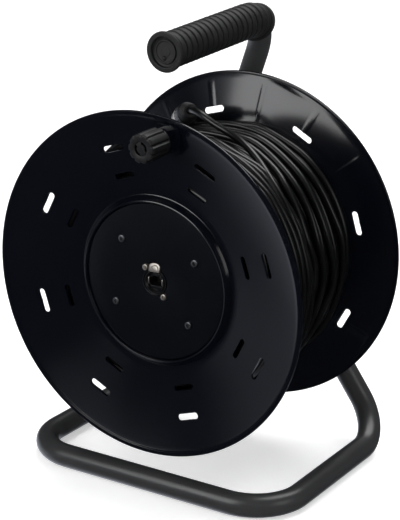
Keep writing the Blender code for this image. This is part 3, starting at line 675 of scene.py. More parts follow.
def hex_piece(name, corner, y0, y1, bore=0.0, chamfer0=True, chamfer1=True, x=0.0, z=0.0, start=0.0):
    """A hexagon with chamfered ends, with a bore or solid."""
    sides = 96
    flat = corner * math.cos(math.pi / 6)
    keep = flat + (corner - flat) * 0.15

    def ring(kind):
        made = []
        for j in range(sides):
            a = 2 * math.pi * j / sides + start
            r = hexagon(corner, a - start)
            r = min(r, corner * 0.99)
            if kind == "face0":
                q, y = min(r, keep * 0.96), y0
            elif kind == "edge0":
                q, y = r, y0 + (max(r - keep, 0.0) * 0.58 if chamfer0 else 0.0) + 0.02
            elif kind == "edge1":
                q, y = r, y1 - (max(r - keep, 0.0) * 0.58 if chamfer1 else 0.0) - 0.02
            elif kind == "face1":
                q, y = min(r, keep * 0.96), y1
            elif kind == "bore0":
                q, y = bore + 0.5, y0
            elif kind == "bore0b":
                q, y = bore, y0 + 0.5
            elif kind == "bore1b":
                q, y = bore, y1 - 0.5
            else:
                q, y = bore + 0.5, y1
            made.append((x + q * math.cos(a), y, z + q * math.sin(a)))
        return made

    if bore:
        order = [ring(k) for k in ("face0", "edge0", "edge1", "face1", "bore1", "bore1b", "bore0b", "bore0")]
        verts = [p for r in order for p in r]
        return build(name, verts, grid_faces(len(order), sides), 28.0)
    return stacked(name, [ring(k) for k in ("face0", "edge0", "edge1", "face1")], 28.0)


def threaded(name, r, pitch, y0, y1, x=0.0, z=0.0, plain_to=None):
    """A shank from y0 to y1, threaded from plain_to to y1, with a chamfered tip."""
    sides = 48
    stations = []
    if plain_to is not None:
        stations += [(y0, False), (plain_to, False)]
        begin = plain_to
    else:
        begin = y0
    count = int((y1 - begin) / (pitch / 7))
    for i in range(1, count + 1):
        stations.append((begin + (y1 - begin) * i / count, True))
    outlines = []
    for y, cut in stations:
        made = []
        for j in range(sides):
            a = 2 * math.pi * j / sides
            q = r
            if cut:
                phase = ((y / pitch) - j / sides) % 1.0
                q = r - 0.61 * pitch * abs(2 * phase - 1.0) * 0.9
            q = min(q, r - 1.0 + (y1 - y) * 1.0)
            made.append((x + q * math.cos(a), y, z + q * math.sin(a)))
        outlines.append(made)
    return stacked(name, outlines, 60.0)


AXLE_TIP = 140.0
bolt = threaded("axle_bolt_shank", 6.0, 1.75, 2.0, AXLE_TIP, plain_to=122.0)
head = hex_piece("axle_bolt_head", 10.9, -5.0, 2.6)
wear(bolt, ZINC, "frame", ("axle_bolt",))
wear(head, ZINC, "frame")


def washer(name, r_out, r_in, y0, y1, node, body="frame", finish=ZINC, x=0.0, z=0.0):
    profile = soften([(r_out, y1), (r_out, y0), (r_in, y0), (r_in, y1)], 0.25)
    return wear(lathe(name, profile, 72, x, z), finish, body, (node,))


washer("head_washer", 13.0, 6.35, 3.2, 4.7, "axle_head_washer")
washer("spacer_sleeve", 8.0, 6.35, 5.0, 104.7, "axle_sleeve")
washer("thrust_ring", 13.0, 8.35, 103.1, 104.6, "thrust_washer")
washer("tube_washer", 12.0, 6.35, 126.9, 128.4, "frame_washer")
nut = hex_piece("axle_hex_nut", 10.9, 128.7, 138.6, bore=6.1)
wear(nut, ZINC, "frame", ("axle_nut",))

# ---------------------------------------------------------------- flanges
def stadium(length, width, degrees, radius, steps=8):
    half, r = (length - width) / 2, width / 2
    ends = [
        (side * half + r * math.cos(a), r * math.sin(a))
        for side, first in ((1, -90), (-1, 90))
        for a in (math.radians(first + 180 / steps * i) for i in range(steps + 1))
    ]
    cx, cz = polar(radius, degrees)
    a = math.radians(degrees)
    ux, uz, vx, vz = -math.sin(a), math.cos(a), math.cos(a), math.sin(a)
    return [(cx + p * ux + q * vx, cz + p * uz + q * vz) for p, q in ends]


def slot_cutters(first, y0, y1):
    made = []
    for i in range(8):
        for length, width, r in ((22.5, 6.0, 121.7), (20.5, 5.0, 96.3)):
            made.append(prism("slot", stadium(length, width, first + 45 * i, r), y0, y1))
    return merge(made)


OUTSIDE = [
    (155.0, 0.0), (151.3, 0.0), (150.2, 1.25)
] + [(r, cone(r)) for r in (147.0, 142.0, 136.0, 128.0, 119.0, 110.0, 101.0, 92.0, 84.0)] + [
    (77.2, cone(77.2)), (75.5, 16.2), (74.6, 15.2), (73.9, 14.3), (73.2, 13.5), (72.5, 13.2),
    (71.85, 13.4), (71.35, 13.9), (71.05, 14.7), (70.75, 16.3), (70.5, 18.8), (64.0, 18.8), (63.6, 22.0),
]
INNER_R = [77.2, 90.0, 105.0, 115.5, 118.0, 125.0, 132.0, 139.0, 145.5, 148.0, 150.2]
INSIDE = [(74.4, 24.6), (74.4, 31.6), (77.2, 31.6)] + [
    (r, cone(r) + AXIAL) for r in INNER_R
] + [(152.3, 2.8), (155.0, 2.6)]


def rib(r, a, first):
    """Height of the faint stiffening ribs on a flange's inner face."""
    if not 117.0 < r < 147.0:
        return 0.0
    step = math.radians(22.5)
    off = (a - math.radians(first) + step / 2) % step - step / 2
    return 0.55 * max(0.0, 1.0 - (abs(off) * r / 1.9) ** 2) if abs(off) * r < 1.9 else 0.0


def flange(name, first, front):
    side = -1.0 if front else 1.0

    def at(d):
        return side * (RIM - d)

    if front:
        middle = [(22.0, 22.0), (22.0, 24.6)]
        profile = [(r, at(d)) for r, d in OUTSIDE + middle + INSIDE]
    else:
        profile = [(r, at(d)) for r, d in OUTSIDE]
        profile += [(14.0, RIM - 22.0), (14.0, 100.39), (11.35, 100.39), (11.35, 7.6), (14.0, 7.6), (14.0, RIM - 24.6)]
        profile += [(r, at(d)) for r, d in INSIDE]
    n = len(profile)
    radii = {None: 0.35, 0: 0.8, 1: 0.4, 2: 0.5, 12: 2.0, n - 1: 0.8}
    profile = soften(profile, radii, 3)

    def shift(r, y, a):
        if abs(y - at(cone(r) + AXIAL)) < 0.05:
            return -side * rib(r, a, first)
        return 0.0

    obj = lathe(name, profile, 384, start=first, shift=shift, angle=30.0)
    return obj


front = flange("front_flange_disc", FRONT_SLOTS, True)


def square_boss():
    """Square, flush with the rim at its top and proud lower down."""
    layers = []
    for inset, y in ((0.0, None), (0.0, 0.08), (0.08, 0.0)):
        made = []
        for sx, sz, first in ((1, 1, 0), (-1, 1, 90), (-1, -1, 180), (1, -1, 270)):
            for i in range(9):
                a = math.radians(first + 11.25 * i)
                x = KNOB_X + sx * (15.1 - 4.5) + (4.5 - inset) * math.cos(a)
                z = KNOB_Z + sz * (12.9 - 4.5) + (4.5 - inset) * math.sin(a)
                foot = -78.3 - (z - 120.4) * 0.228 - (x - 4.5) * 0.029
                made.append((x, foot if y is None else -RIM + 0.3 + y, z))
        layers.append(made)
    return stacked("boss", layers)


boss = square_boss()
neck = lathe("neck", soften(
    [(0.0, -84.0), (10.8, -84.0), (10.8, -95.6), (0.0, -95.6)], {None: 0.0, 2: 0.7}, 4, closed=False), 96, KNOB_X, KNOB_Z)
back_boss = lathe("back_boss", [(0.0, -77.5), (8.0, -77.5), (8.0, -82.0), (0.0, -82.0)], 48, KNOB_X, KNOB_Z)
posts = []
for r, degrees in PANEL_SCREWS:
    x, z = polar(r, degrees)
    posts.append(lathe("post", [(0.0, -56.0), (4.2, -56.0), (4.2, -68.85), (0.0, -68.85)], 24, x, z))
carve(front, [boss, neck, back_boss] + posts, "UNION")
holes = [lathe("hole", [(0.0, -70.0), (4.35, -70.0), (4.35, -98.0), (0.0, -98.0)], 32, KNOB_X, KNOB_Z)]
for r, degrees in PANEL_SCREWS:
    x, z = polar(r, degrees)
    holes.append(lathe("hole", [(0.0, -50.0), (2.1, -50.0), (2.1, -75.0), (0.0, -75.0)], 16, x, z))
for degrees in TIE_ANGLES:
    x, z = polar(57.0, degrees)
    holes.append(lathe("hole", [(0.0, -58.0), (2.9, -58.0), (2.9, -72.0), (0.0, -72.0)], 16, x, z))
carve(front, [merge(holes + [slot_cutters(FRONT_SLOTS, -92.0, -60.0)])])
wear(front, GLOSS, "drum", ("front_flange",))

rear = flange("rear_flange_disc", REAR_SLOTS, False)
holes = []
for degrees in TIE_ANGLES:
    x, z = polar(57.0, degrees)
    holes.append(lathe("hole", [(0.0, 72.0), (2.9, 72.0), (2.9, 58.0), (0.0, 58.0)], 16, x, z))
carve(rear, [merge(holes + [slot_cutters(REAR_SLOTS, 60.0, 92.0)])])
wear(rear, GLOSS, "drum", ("rear_flange",))

# ---------------------------------------------------------------- screws
def cross_cutter(x, z, y, size, degrees, depth):
    """A cross recess that narrows with depth."""
    made = []
    for k in range(2):
        a = math.radians(degrees + 90 * k)
        outlines = []
        for y_at, s in ((y - 1.0, 1.12), (y + depth, 0.55)):
            ring = []
            for p, q in ((-size * s, -size * 0.29), (size * s, -size * 0.29), (size * s, size * 0.29), (-size * s, size * 0.29)):
                ring.append((x + p * math.cos(a) - q * math.sin(a), y_at, z + p * math.sin(a) + q * math.cos(a)))
            outlines.append(ring)
        made.append(stacked("cross", outlines))
    return made


def panel_screw(name, x, z, seat, head_r, head_h, shank_r, shank_l, finish, node, turned_by):
    crown = [(head_r * q, seat - head_h * (1.0 - 0.18 * q**2)) for q in (0.0, 0.3, 0.55, 0.72, 0.82)]
    crown += [(head_r * q, seat - head_h * h) for q, h in ((0.90, 0.80), (0.955, 0.66), (0.985, 0.48), (1.0, 0.3))]
    profile = [(0.0, crown[0][1])] + crown[1:] + [(head_r, seat), (shank_r, seat), (shank_r, seat + shank_l - 1.0),
                                                 (shank_r * 0.4, seat + shank_l), (0.0, seat + shank_l)]
    obj = lathe(name, profile, 48, x, z)
    carve(obj, cross_cutter(x, z, seat - head_h, head_r * 0.64, turned_by, head_h + 0.7))
    return wear(obj, finish, "drum", (node,))


for i, (r, degrees) in enumerate(PANEL_SCREWS):
    x, z = polar(r, degrees)
    panel_screw(f"panel_screw_head_{i + 1}", x, z, PANEL_Y - 0.3, 3.3, 1.2, 1.75, 15.0, SCREW,
                f"panel_screw_{i + 1}", (20, 55, 5, 70)[i])

# ---------------------------------------------------------------- hub panel
def at_y(outline, y):
    return [(a, y, b) for a, b in outline]


def scaled(outline, k, cx=0.0, cz=13.2):
    return [(cx + (a - cx) * k, cz + (b - cz) * k) for a, b in outline]


def arch(half, low, shoulder, top, steps=24):
    """A flat-bottomed outline with a round top."""
    made = [(-half, low), (half, low)]
    for i in range(steps + 1):
        a = math.pi * i / steps
        made.append((half * math.cos(a), shoulder + (top - shoulder) * math.sin(a) ** 0.8))
    return made


panel = lathe(
    "hub_panel_disc",
    soften([(70.1, -69.15), (70.1, -72.15), (12.5, -72.15), (12.5, -69.15)], {None: 0.25, 0: 0.3, 1: 0.22}, 3),
    192,
)
holes = []
for r, degrees in PANEL_SCREWS:
    x, z = polar(r, degrees)
    holes.append(lathe("hole", [(0.0, -60.0), (2.1, -60.0), (2.1, -80.0), (0.0, -80.0)], 24, x, z))
for x, z in SOCKET_SCREWS:
    holes.append(lathe("hole", [(0.0, -60.0), (1.65, -60.0), (1.65, -80.0), (0.0, -80.0)], 16, x, z))
bay_outline = arch(6.6, 10.2, 14.0, 17.9)
bay = stacked("bay", [
    at_y(scaled(bay_outline, 1.10), PANEL_Y - 0.6), at_y(scaled(bay_outline, 1.0), PANEL_Y + 0.25),
    at_y(scaled(bay_outline, 1.0), PANEL_Y + 6.0),
])
carve(panel, [merge(holes), bay])
wear(panel, PANEL, "drum", ("hub_panel",))

# ---------------------------------------------------------------- data socket
def plate_outline(grow=0.0, corner=3.5, steps=8):
    made = []
    for sx, sz, first in ((1, 1, 0), (-1, 1, 90), (-1, -1, 180), (1, -1, 270)):
        for i in range(steps + 1):
            a = math.radians(first + 90 * i / steps)
            made.append((sx * (13.0 - corner) + (corner + grow) * math.cos(a),
                         sz * (15.5 - corner) + (corner + grow) * math.sin(a)))
    return made


# its plate is behind the panel and its barrel comes through
PLATE_FRONT = PANEL_Y + 3.3
BARREL_FRONT = PANEL_Y - 0.9

shell = stacked("socket_plate", [
    at_y(plate_outline(0.0), PLATE_FRONT + 1.7), at_y(plate_outline(0.0), PLATE_FRONT + 0.45),
    at_y(plate_outline(-0.13), PLATE_FRONT + 0.13), at_y(plate_outline(-0.45), PLATE_FRONT),
])
f = BARREL_FRONT
barrel = lathe("barrel", soften(
    [(0.0, -49.5), (12.1, -49.5), (12.1, f), (11.3, f), (11.1, f + 1.2), (10.3, f + 1.2), (10.1, f + 0.15), (0.0, f + 0.15)],
    {None: 0.25, 2: 0.38, 3: 0.38, 6: 0.4}, 4, closed=False), 128)
carve(shell, [barrel], "UNION")
mouth = lathe("mouth", soften([(0.0, -69.4), (8.2, -69.4), (8.2, f + 1.7), (9.3, f + 0.1), (9.3, f - 5), (0.0, f - 5)],
                              {None: 0.0, 2: 0.6}, 4, closed=False), 128)
chamber = stacked("chamber", [at_y([(-8.0, -7.0), (8.0, -7.0), (8.0, 7.0), (-8.0, 7.0)], y) for y in (-70.0, -45.0)])
notch = stacked("notch", [at_y([(-6.6, 8.55), (6.6, 8.55), (6.6, 20.0), (-6.6, 20.0)], y) for y in (f - 5, PLATE_FRONT)])
latch_way = stacked("way", [at_y([(-2.9, 8.7), (2.9, 8.7), (2.9, 11.0), (-2.9, 11.0)], y) for y in (f - 5, -62.0)])
seats = []
for x, z in SOCKET_SCREWS:
    seats.append(lathe("seat", [(0.0, -60.0), (1.65, -60.0), (1.65, -80.0), (0.0, -80.0)], 24, x, z))
carve(shell, [mouth, chamber, notch, latch_way, merge(seats)])
wear(shell, SATIN, "drum", ("socket_shell",))

insert = stacked("socket_insert_block", [
    at_y([(-7.7, -6.7), (7.7, -6.7), (7.7, 6.7), (-7.7, 6.7)], y) for y in (-69.7, -46.0)
])
jack = stacked("jack", [
    at_y([(-6.1, -4.3), (6.1, -4.3), (6.1, 2.9), (3.4, 2.9), (3.4, 4.3), (-3.4, 4.3), (-3.4, 2.9), (-6.1, 2.9)], y)
    for y in (-75.0, -59.4)
])
rear_jack = stacked("jack", [at_y([(-6.1, -4.3), (6.1, -4.3), (6.1, 4.3), (-6.1, 4.3)], y) for y in (-58.0, -40.0)])
carve(insert, [jack, rear_jack])
bevel(insert, 0.25)
wear(insert, SATIN, "drum", ("socket_insert",))

# eight spring contacts in the jack
contacts = []
for i in range(8):
    x = (i - 3.5) * 1.02
    line = [(x, -59.8, -3.9), (x, -61.5, -3.6), (x, -63.5, -2.6), (x, -66.5, -1.2), (x, -68.0, -1.1), (x, -68.8, -1.9)]
    contacts.append(rod("contact", smooth(line, 0.8), [0.17] * len(smooth(line, 0.8)), 6))
BRASS = look("gold_contact", (0.060, 0.045, 0.025), (0.085, 0.062, 0.035), (0.34, 0.42), 500.0, metallic=1.0)
wear(merge(contacts), BRASS, "drum")

# metal earth springs at both sides of the jack
springs = []
for side in (-1, 1):
    line = [(side * 7.05, -69.9, 3.1), (side * 7.05, -70.7, 2.6), (side * 7.05, -71.0, 1.2), (side * 7.05, -71.0, -1.2),
            (side * 7.05, -70.7, -2.6), (side * 7.05, -69.9, -3.1)]
    line = smooth(line, 0.5)
    springs.append(rod("spring", line, [0.62] * len(line), 12))
wear(merge(springs), NICKEL, "drum")

# latch tab: a ramp for the thumb, in a bay of the panel
TAB_BACK = PLATE_FRONT - 1.5 - 0.6
TAB_FRONT = TAB_BACK - 3.2


def thumb_face(a, b):
    """Front of the tab: it falls back towards its top and a little towards its sides."""
    t = (b - 9.2) / 8.1
    return TAB_FRONT + 0.05 + 8.1 * (0.10 * t + 0.19 * t * t) + 0.35 * (a / 5.9) ** 2


tab_outline = arch(5.85, 9.25, 13.6, 17.3, 28)
layers = [[(a, TAB_BACK, b) for a, b in scaled(tab_outline, 0.96)], [(a, TAB_BACK - 0.25, b) for a, b in tab_outline]]
for k, sink in ((1.0, 0.55), (0.985, 0.22), (0.955, 0.06), (0.90, 0.0), (0.75, 0.0), (0.5, 0.0), (0.25, 0.0)):
    layers.append([(a, min(thumb_face(a, b) + sink, TAB_BACK - 0.3), b) for a, b in scaled(tab_outline, k)])
tab = stacked("latch_tab", layers, 40.0)
stem = stacked("stem", [at_y([(-2.6, 9.3), (2.6, 9.3), (2.6, 10.7), (-2.6, 10.7)], y) for y in (TAB_BACK - 1.0, -65.0)])
carve(tab, [stem], "UNION")


def curl(radius, width, first, last, cx, cz, deep):
    """A curved groove in the thumb face."""
    points = [polar(radius, first + (last - first) * i / 16) for i in range(17)]
    line = [(cx + a, thumb_face(cx + a, cz + b) + width - deep, cz + b) for a, b in points]
    return rod("curl", line, [width] * len(line), 10)


carve(tab, [curl(3.5, 0.55, 25.0, 150.0, 0.4, 11.6, 0.95), curl(1.6, 0.42, -30.0, 120.0, -0.9, 11.4, 0.7)], angle=40.0)
wear(tab, WORN_NICKEL, "latch", ("socket_latch",))

for i, (x, z) in enumerate(SOCKET_SCREWS):
    panel_screw(f"socket_screw_head_{i + 1}", x, z, PANEL_Y - 0.3, 2.8, 1.3, 1.3, 9.0, NICKEL,
                f"socket_screw_{i + 1}", (30, 10)[i])

# ---------------------------------------------------------------- rewind knob
def knob():
    sides = 240
    count = 10

    def flute(a):
        """0 on a crest, 1 in the bottom of a flute."""
        off = (a / (2 * math.pi) * count) % 1.0
        off = abs(off - 0.5) * 2
        return min(1.0, max(0.0, (0.42 - off) / 0.30)) ** 0.8 if off < 0.42 else 0.0

    profile = [(-95.9, 10.4, 1.0), (-96.0, 11.3, 1.0), (-96.4, 12.05, 1.0), (-97.1, 12.6, 1.0),
               (-98.2, 12.85, 1.0), (-99.6, 12.9, 1.0), (-112.0, 12.9, 1.0),
               (-120.6, 12.8, 1.0), (-121.5, 12.6, 1.0), (-122.1, 12.2, 1.0), (-122.4, 11.6, 1.0), (-122.5, 10.9, 0.9)]
    ring = []
    for y, r, f in profile:
        made = []
        for j in range(sides):
            a = 2 * math.pi * j / sides
            q = r - 1.15 * f * flute(a)
            made.append((KNOB_X + q * math.cos(a), y, KNOB_Z + q * math.sin(a)))
        ring.append(made)
    inner = [(-122.5, 6.15), (-122.4, 6.0), (-122.1, 5.95), (-117.0, 5.95), (-117.0, 4.45), (-95.9, 4.45)]
    for y, r in inner:
        ring.append([(KNOB_X + r * math.cos(2 * math.pi * j / sides), y, KNOB_Z + r * math.sin(2 * math.pi * j / sides))
                     for j in range(sides)])
    verts = [p for r in ring for p in r]
    return build("fluted_knob", verts, grid_faces(len(ring), sides), 40.0)


wear(knob(), KNOB_BLACK, "knob", ("knob",))


def knob_cap():
    obj = lathe(
        "knob_pin_head",
        [(0.0, -72.0), (4.0, -72.0), (4.0, -120.0)]
        + soften([(4.0, -120.0), (5.8, -120.0), (5.8, -122.3), (0.0, -122.35)], {None: 0.2, 2: 0.25}, closed=False)[1:],
        64, KNOB_X, KNOB_Z,
    )
    slits = []
    for first, last in ((150.0, 262.0), (-18.0, 88.0)):
        outline = []
        for i in range(19):
            outline.append(polar(6.5, first + (last - first) * i / 18))
        for i in range(19):
            outline.append(polar(3.95, last + (first - last) * i / 18))
        slits.append(prism("slit", [(KNOB_X + a, KNOB_Z + b) for a, b in outline], -124.0, -119.5))
    carve(obj, [merge(slits)])
    return obj


wear(knob_cap(), KNOB_BLACK, "drum", ("knob_pin",))

# ---------------------------------------------------------------- tie bolts, seen at the back
for i, degrees in enumerate(TIE_ANGLES):
    x, z = polar(57.0, degrees)
    seat = RIM - 22.0 + 0.3
    dome = [(4.5 * math.cos(t), seat + 1.0 + 1.9 * math.sin(t)) for t in (math.radians(10 * k) for k in range(9))]
    profile = [(0.0, -68.6), (2.45, -68.6), (2.45, seat), (4.5, seat)] + dome + [(0.0, seat + 2.9)]
    obj = lathe(f"tie_bolt_head_{i + 1}", profile, 48, x, z)
    socket = []
    for y in (seat + 1.2, seat + 4.0):
        socket.append([(x + 1.75 * math.cos(math.radians(60 * k + 13 * i)), y, z + 1.75 * math.sin(math.radians(60 * k + 13 * i))) for k in range(6)])
    carve(obj, [stacked("socket", socket)])
    wear(obj, ZINC, "drum", (f"tie_bolt_{i + 1}",))

# ---------------------------------------------------------------- wound cable
def winding():
    """Lays the whole length of cable turn by turn: each point rests on what lies under it."""
    random.seed(11)
    STEP = 4.0
    COLUMNS = int(360 / STEP)
    CELL = 0.5
    HALF = 80.0
    ROWS = int(2 * HALF / CELL)
    surface = [[80.0] * ROWS for _ in range(COLUMNS)]
    SOFT = 3.05

    def limit(r):
        return RIM - cone(r) - AXIAL - CABLE_R - 0.2

    # knots: (total degrees, y)
    knots = [(309.0, -15.5), (345.0, -17.0), (430.0, -33.0), (540.0, -52.0), (640.0, -62.5)]
    angle = 640.0
    side = -1.0
    nominal = (83.3, 89.0, 94.8, 100.6, 106.3)
    for layer, r in enumerate(nominal):
        edge = limit(r)
        turns = int(2 * edge / 6.42)
        for k in range(turns * 4 + 1):
            t = k / (turns * 4)
            wobble = random.uniform(-0.25, 0.25) if 0 < k < turns * 4 else 0.0
            knots.append((angle + 90 * k + 30, side * edge * (1 - 2 * t) * 1.0 + wobble))
        angle += 90 * turns * 4 + 60
        side = -side
    # the top layer starts at the rear flange
    base = math.ceil(angle / 360.0) * 360.0
    if base - angle < 60:
        base += 360.0
    edge = limit(112.0)
    top = [(-55, edge), (-20, edge), (20, edge), (60, edge), (95, edge - 0.3), (125, edge - 1.0), (200, 69.0), (290, 66.0)]
    B = [(-21, 63), (-6, 61), (9, 58.6), (22, 56.4), (33, 55.6), (45, 54), (60, 54), (74, 54.6), (87, 53), (140, 50), (220, 45), (300, 38)]
    C = [(-19, 34), (-14, 39), (-8, 42), (4, 40), (19, 35), (33, 36), (46, 38), (60, 39.5), (75, 41.6), (84, 39), (140, 33), (220, 27), (300, 19.5)]
    D = [(-20, 17), (-14, 17.7), (-3, 23), (7, 21.5), (17, 17.7), (31, 20.7), (44, 22.5), (58, 26), (72, 28), (79, 25), (140, 18), (220, 10), (300, 0)]
    E = [(-11, -1), (-4, 2.2), (2, 5.5), (9, 6.4), (20, 2.3), (33, 5.2), (45, 7.8), (51, 11.5), (59, 15.3), (67, 18.4), (76, 18.5), (140, 6), (220, -2), (300, -6.5)]
    for k, strand in enumerate((top, B, C, D, E)):
        knots += [(base + 360 * k + a, y) for a, y in strand]
    start = base + 360 * 5
    rows = 8
    for k in range(rows * 4):
        y = -8.0 - 6.75 * k / 4 + random.uniform(-0.5, 0.5)
        knots.append((start + 90 * k, y))
    last = start + 90 * (rows * 4 - 1)
    # back over the front turns to where the loose end lies
    target = math.ceil(last / 360.0) * 360.0 + 302.0
    reach = target - last
    knots.append((last + 50.0, -62.5))
    for k in range(1, 8):
        t = k / 8
        ease = t * t * (3 - 2 * t)
        knots.append((last + 50 + (reach - 50) * t, -62.5 + (3.0 + 62.5) * ease * 0.97))
    knots.append((target, 3.0))
    knots.append((target + 7.0, 1.7))

    knots.sort()
    clean = [knots[0]]
    for k in knots[1:]:
        if k[0] - clean[-1][0] > 5.0:
            clean.append(k)
    if clean[-1][0] < knots[-1][0]:
        clean.append(knots[-1])
    knots = clean

    # an even, smooth y along the angle
    track = []
    index = 0
    a = knots[0][0]
    while a <= target:
        while index + 2 < len(knots) and a > knots[index + 1][0]:
            index += 1
        (a0, y0), (a1, y1) = knots[index], knots[index + 1]
        before = knots[max(index - 1, 0)]
        after = knots[min(index + 2, len(knots) - 1)]
        h = a1 - a0
        m0 = (y1 - before[1]) / max(a1 - before[0], 1e-6) * h
        m1 = (after[1] - y0) / max(after[0] - a0, 1e-6) * h
        t = (a - a0) / h
        y = ((2 * t**3 - 3 * t**2 + 1) * y0 + (t**3 - 2 * t**2 + t) * m0
             + (-2 * t**3 + 3 * t**2) * y1 + (t**3 - t**2) * m1)
        track.append((a, y))
        a += STEP
    # lay it down
    reach_cells = int(2 * SOFT / CELL)
    drop = [math.sqrt(max((2 * SOFT) ** 2 - (k * CELL) ** 2, 0.0)) for k in range(-reach_cells, reach_cells + 1)]
    centres = [[0.0] * ROWS for _ in range(COLUMNS)]
    radius = []
    for n, (a, y) in enumerate(track):
        column = round(a / STEP) % COLUMNS
        cells = centres[column]
        row = round((y + HALF) / CELL)
        r = 80.0 + SOFT + 0.1
        for k in range(-reach_cells, reach_cells + 1):
            j = row + k
            if 0 <= j < ROWS and cells[j] > 0.0:
                r = max(r, cells[j] + drop[k + reach_cells])
        radius.append(r)
        # this point counts as laid only once the cable has gone most of a turn further
        if n >= COLUMNS - 3:
            m = n - (COLUMNS - 3)
            a_old, y_old = track[m]
            j = round((y_old + HALF) / CELL)
            cells_old = centres[round(a_old / STEP) % COLUMNS]
            if 0 <= j < ROWS:
                cells_old[j] = max(cells_old[j], radius[m])
    # the jacket is stiff: it bridges short dips and rises gently
    for _ in range(3):
        radius = [max(radius[i], (radius[max(i - 1, 0)] + radius[min(i + 1, len(radius) - 1)]) / 2) for i in range(len(radius))]
    for _ in range(2):
        radius = [(radius[max(i - 1, 0)] + 2 * radius[i] + radius[min(i + 1, len(radius) - 1)]) / 4 for i in range(len(radius))]
    points = []
    for n, ((a, y), r) in enumerate(zip(track, radius)):
        edge = limit(r)
        y = max(-edge, min(edge, y))
        left = len(track) - 1 - n
        if left < 18:
            t = 1 - left / 18
            r = r * (1 - t) + LAY_R * t
        if n < 4:
            r = min(r, 80.0 + n * 1.0)
        x, z = polar(r, a)
        points.append(Vector((x, y, z)))
    top_r = max(radius)
    return points, top_r


wound, wound_r = winding()
wound[-1] = Vector(end_points[0])
wound_length = sum((b - a).length for a, b in zip(wound, wound[1:])) * MM
print("wound length", round(wound_length, 2), "m, highest radius", round(wound_r, 2), "points", len(wound))
wound_obj = rod("wound_cable", wound, [CABLE_R] * len(wound), 12)
wear(wound_obj, JACKET, "drum", ("cable_winding",))

# ---------------------------------------------------------------- connector on the loose end
def on_plug(obj):
    return turn_to(obj, PLUG_END, PLUG_WAY)


nose = lathe("plug_nose_shell", soften(
    [(7.8, -51.4), (7.8, -34.6), (9.5, -33.6), (9.5, -30.0), (6.9, -30.0), (6.9, -52.0), (7.3, -52.0)],
    {None: 0.25, 2: 0.5, 3: 0.4}, 3), 96)
wear(on_plug(nose), NICKEL, "drum", ("plug_nose",))

plug_block = stacked("plug_insert_block", [
    at_y([(-5.6, -3.3), (5.6, -3.3), (5.6, 3.3), (-5.6, 3.3)], y) for y in (-51.2, -30.4)
])
slits = []
for i in range(8):
    x = (i - 3.5) * 1.02
    slits.append(stacked("slit", [at_y([(x - 0.28, -3.6), (x + 0.28, -3.6), (x + 0.28, -2.2), (x - 0.28, -2.2)], y) for y in (-53.0, -45.0)]))
carve(plug_block, [merge(slits)])
wear(on_plug(plug_block), NYLON, "drum", ("plug_insert",))


def ribbed_body():
    sides = 120
    profile = [(-29.7, 8.9, 0.0), (-29.5, 9.3, 0.0), (-29.0, 9.6, 0.0), (-28.0, 9.7, 0.0), (-27.0, 9.7, 0.3), (-26.2, 9.7, 1.0),
               (-17.0, 9.7, 1.0), (-16.2, 9.7, 0.3), (-15.2, 9.7, 0.0), (-13.6, 9.65, 0.0), (-13.1, 9.4, 0.0), (-12.9, 9.0, 0.0)]
    rings = []
    for y, r, f in profile:
        made = []
        for j in range(sides):
            a = 2 * math.pi * j / sides
            q = r - 0.55 * f * (0.5 - 0.5 * math.cos(a * 20)) ** 0.7
            made.append((q * math.cos(a), y, q * math.sin(a)))
        rings.append(made)
    for y, r in ((-12.9, 3.7), (-20.0, 3.7), (-20.0, 7.4), (-29.7, 7.4)):
        rings.append([(r * math.cos(2 * math.pi * j / sides), y, r * math.sin(2 * math.pi * j / sides)) for j in range(sides)])
    verts = [p for r in rings for p in r]
    return build("plug_body_shell", verts, grid_faces(len(rings), sides), 40.0)


plug_shell = wear(on_plug(ribbed_body()), SATIN, "drum", ("plug_body",))


def bushing():
    profile = [(8.4, -12.6), (8.8, -12.3), (8.9, -11.8), (8.9, -9.9), (8.7, -9.5)]
    for k in range(4):
        y = -9.0 + 2.1 * k
        r = 8.55 - 0.55 * k
        profile += [(r - 0.55, y + 0.15), (r - 0.6, y + 0.55), (r - 0.1, y + 0.75), (r, y + 1.0), (r - 0.12, y + 1.75), (r - 0.3, y + 2.0)]
    profile += [(6.2, -0.35), (5.9, -0.08), (5.5, 0.0), (3.5, 0.0), (3.5, -12.6)]
    return lathe("plug_strain_relief", profile, 72, angle=50.0)


plug_boot = wear(on_plug(bushing()), RUBBER, "drum", ("plug_bushing",))

# ---------------------------------------------------------------- CAD nodes that stay
KEPT = {
    "drum_core": SATIN, "bearing_bush_front": NYLON, "bearing_bush_rear": NYLON, "inner_plug": NYLON,
    "inner_lead": JACKET, "lead_grommet": RUBBER, "knob_nut": ZINC,
    "tie_nut_1": ZINC, "tie_nut_2": ZINC, "tie_nut_3": ZINC, "tie_nut_4": ZINC,
}
for name, finish in KEPT.items():
    node = bpy.data.objects[name] if name in bpy.data.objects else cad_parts[name]
    if node.data.materials:
        for i in range(len(node.data.materials)):
            node.material_slots[i].material = finish
    else:
        node.data.materials.append(finish)

# ---------------------------------------------------------------- floor and backdrop
def stage_material(name, colour, rough=0.9):
    made, nodes, links, shader = material(name)
    base = noise(nodes, links, 3.0, 2.0)
    links.new(tint(nodes, links, base.outputs["Fac"], colour, tuple(c * 1.01 for c in colour)), shader.inputs["Base Color"])
    shader.inputs["Roughness"].default_value = rough
    shader.inputs["Specular IOR Level"].default_value = 0.1
    shader.inputs["Emission Color"].default_value = (1.0, 1.0, 1.0, 1.0)
    shader.inputs["Emission Strength"].default_value = 0.45
    return made


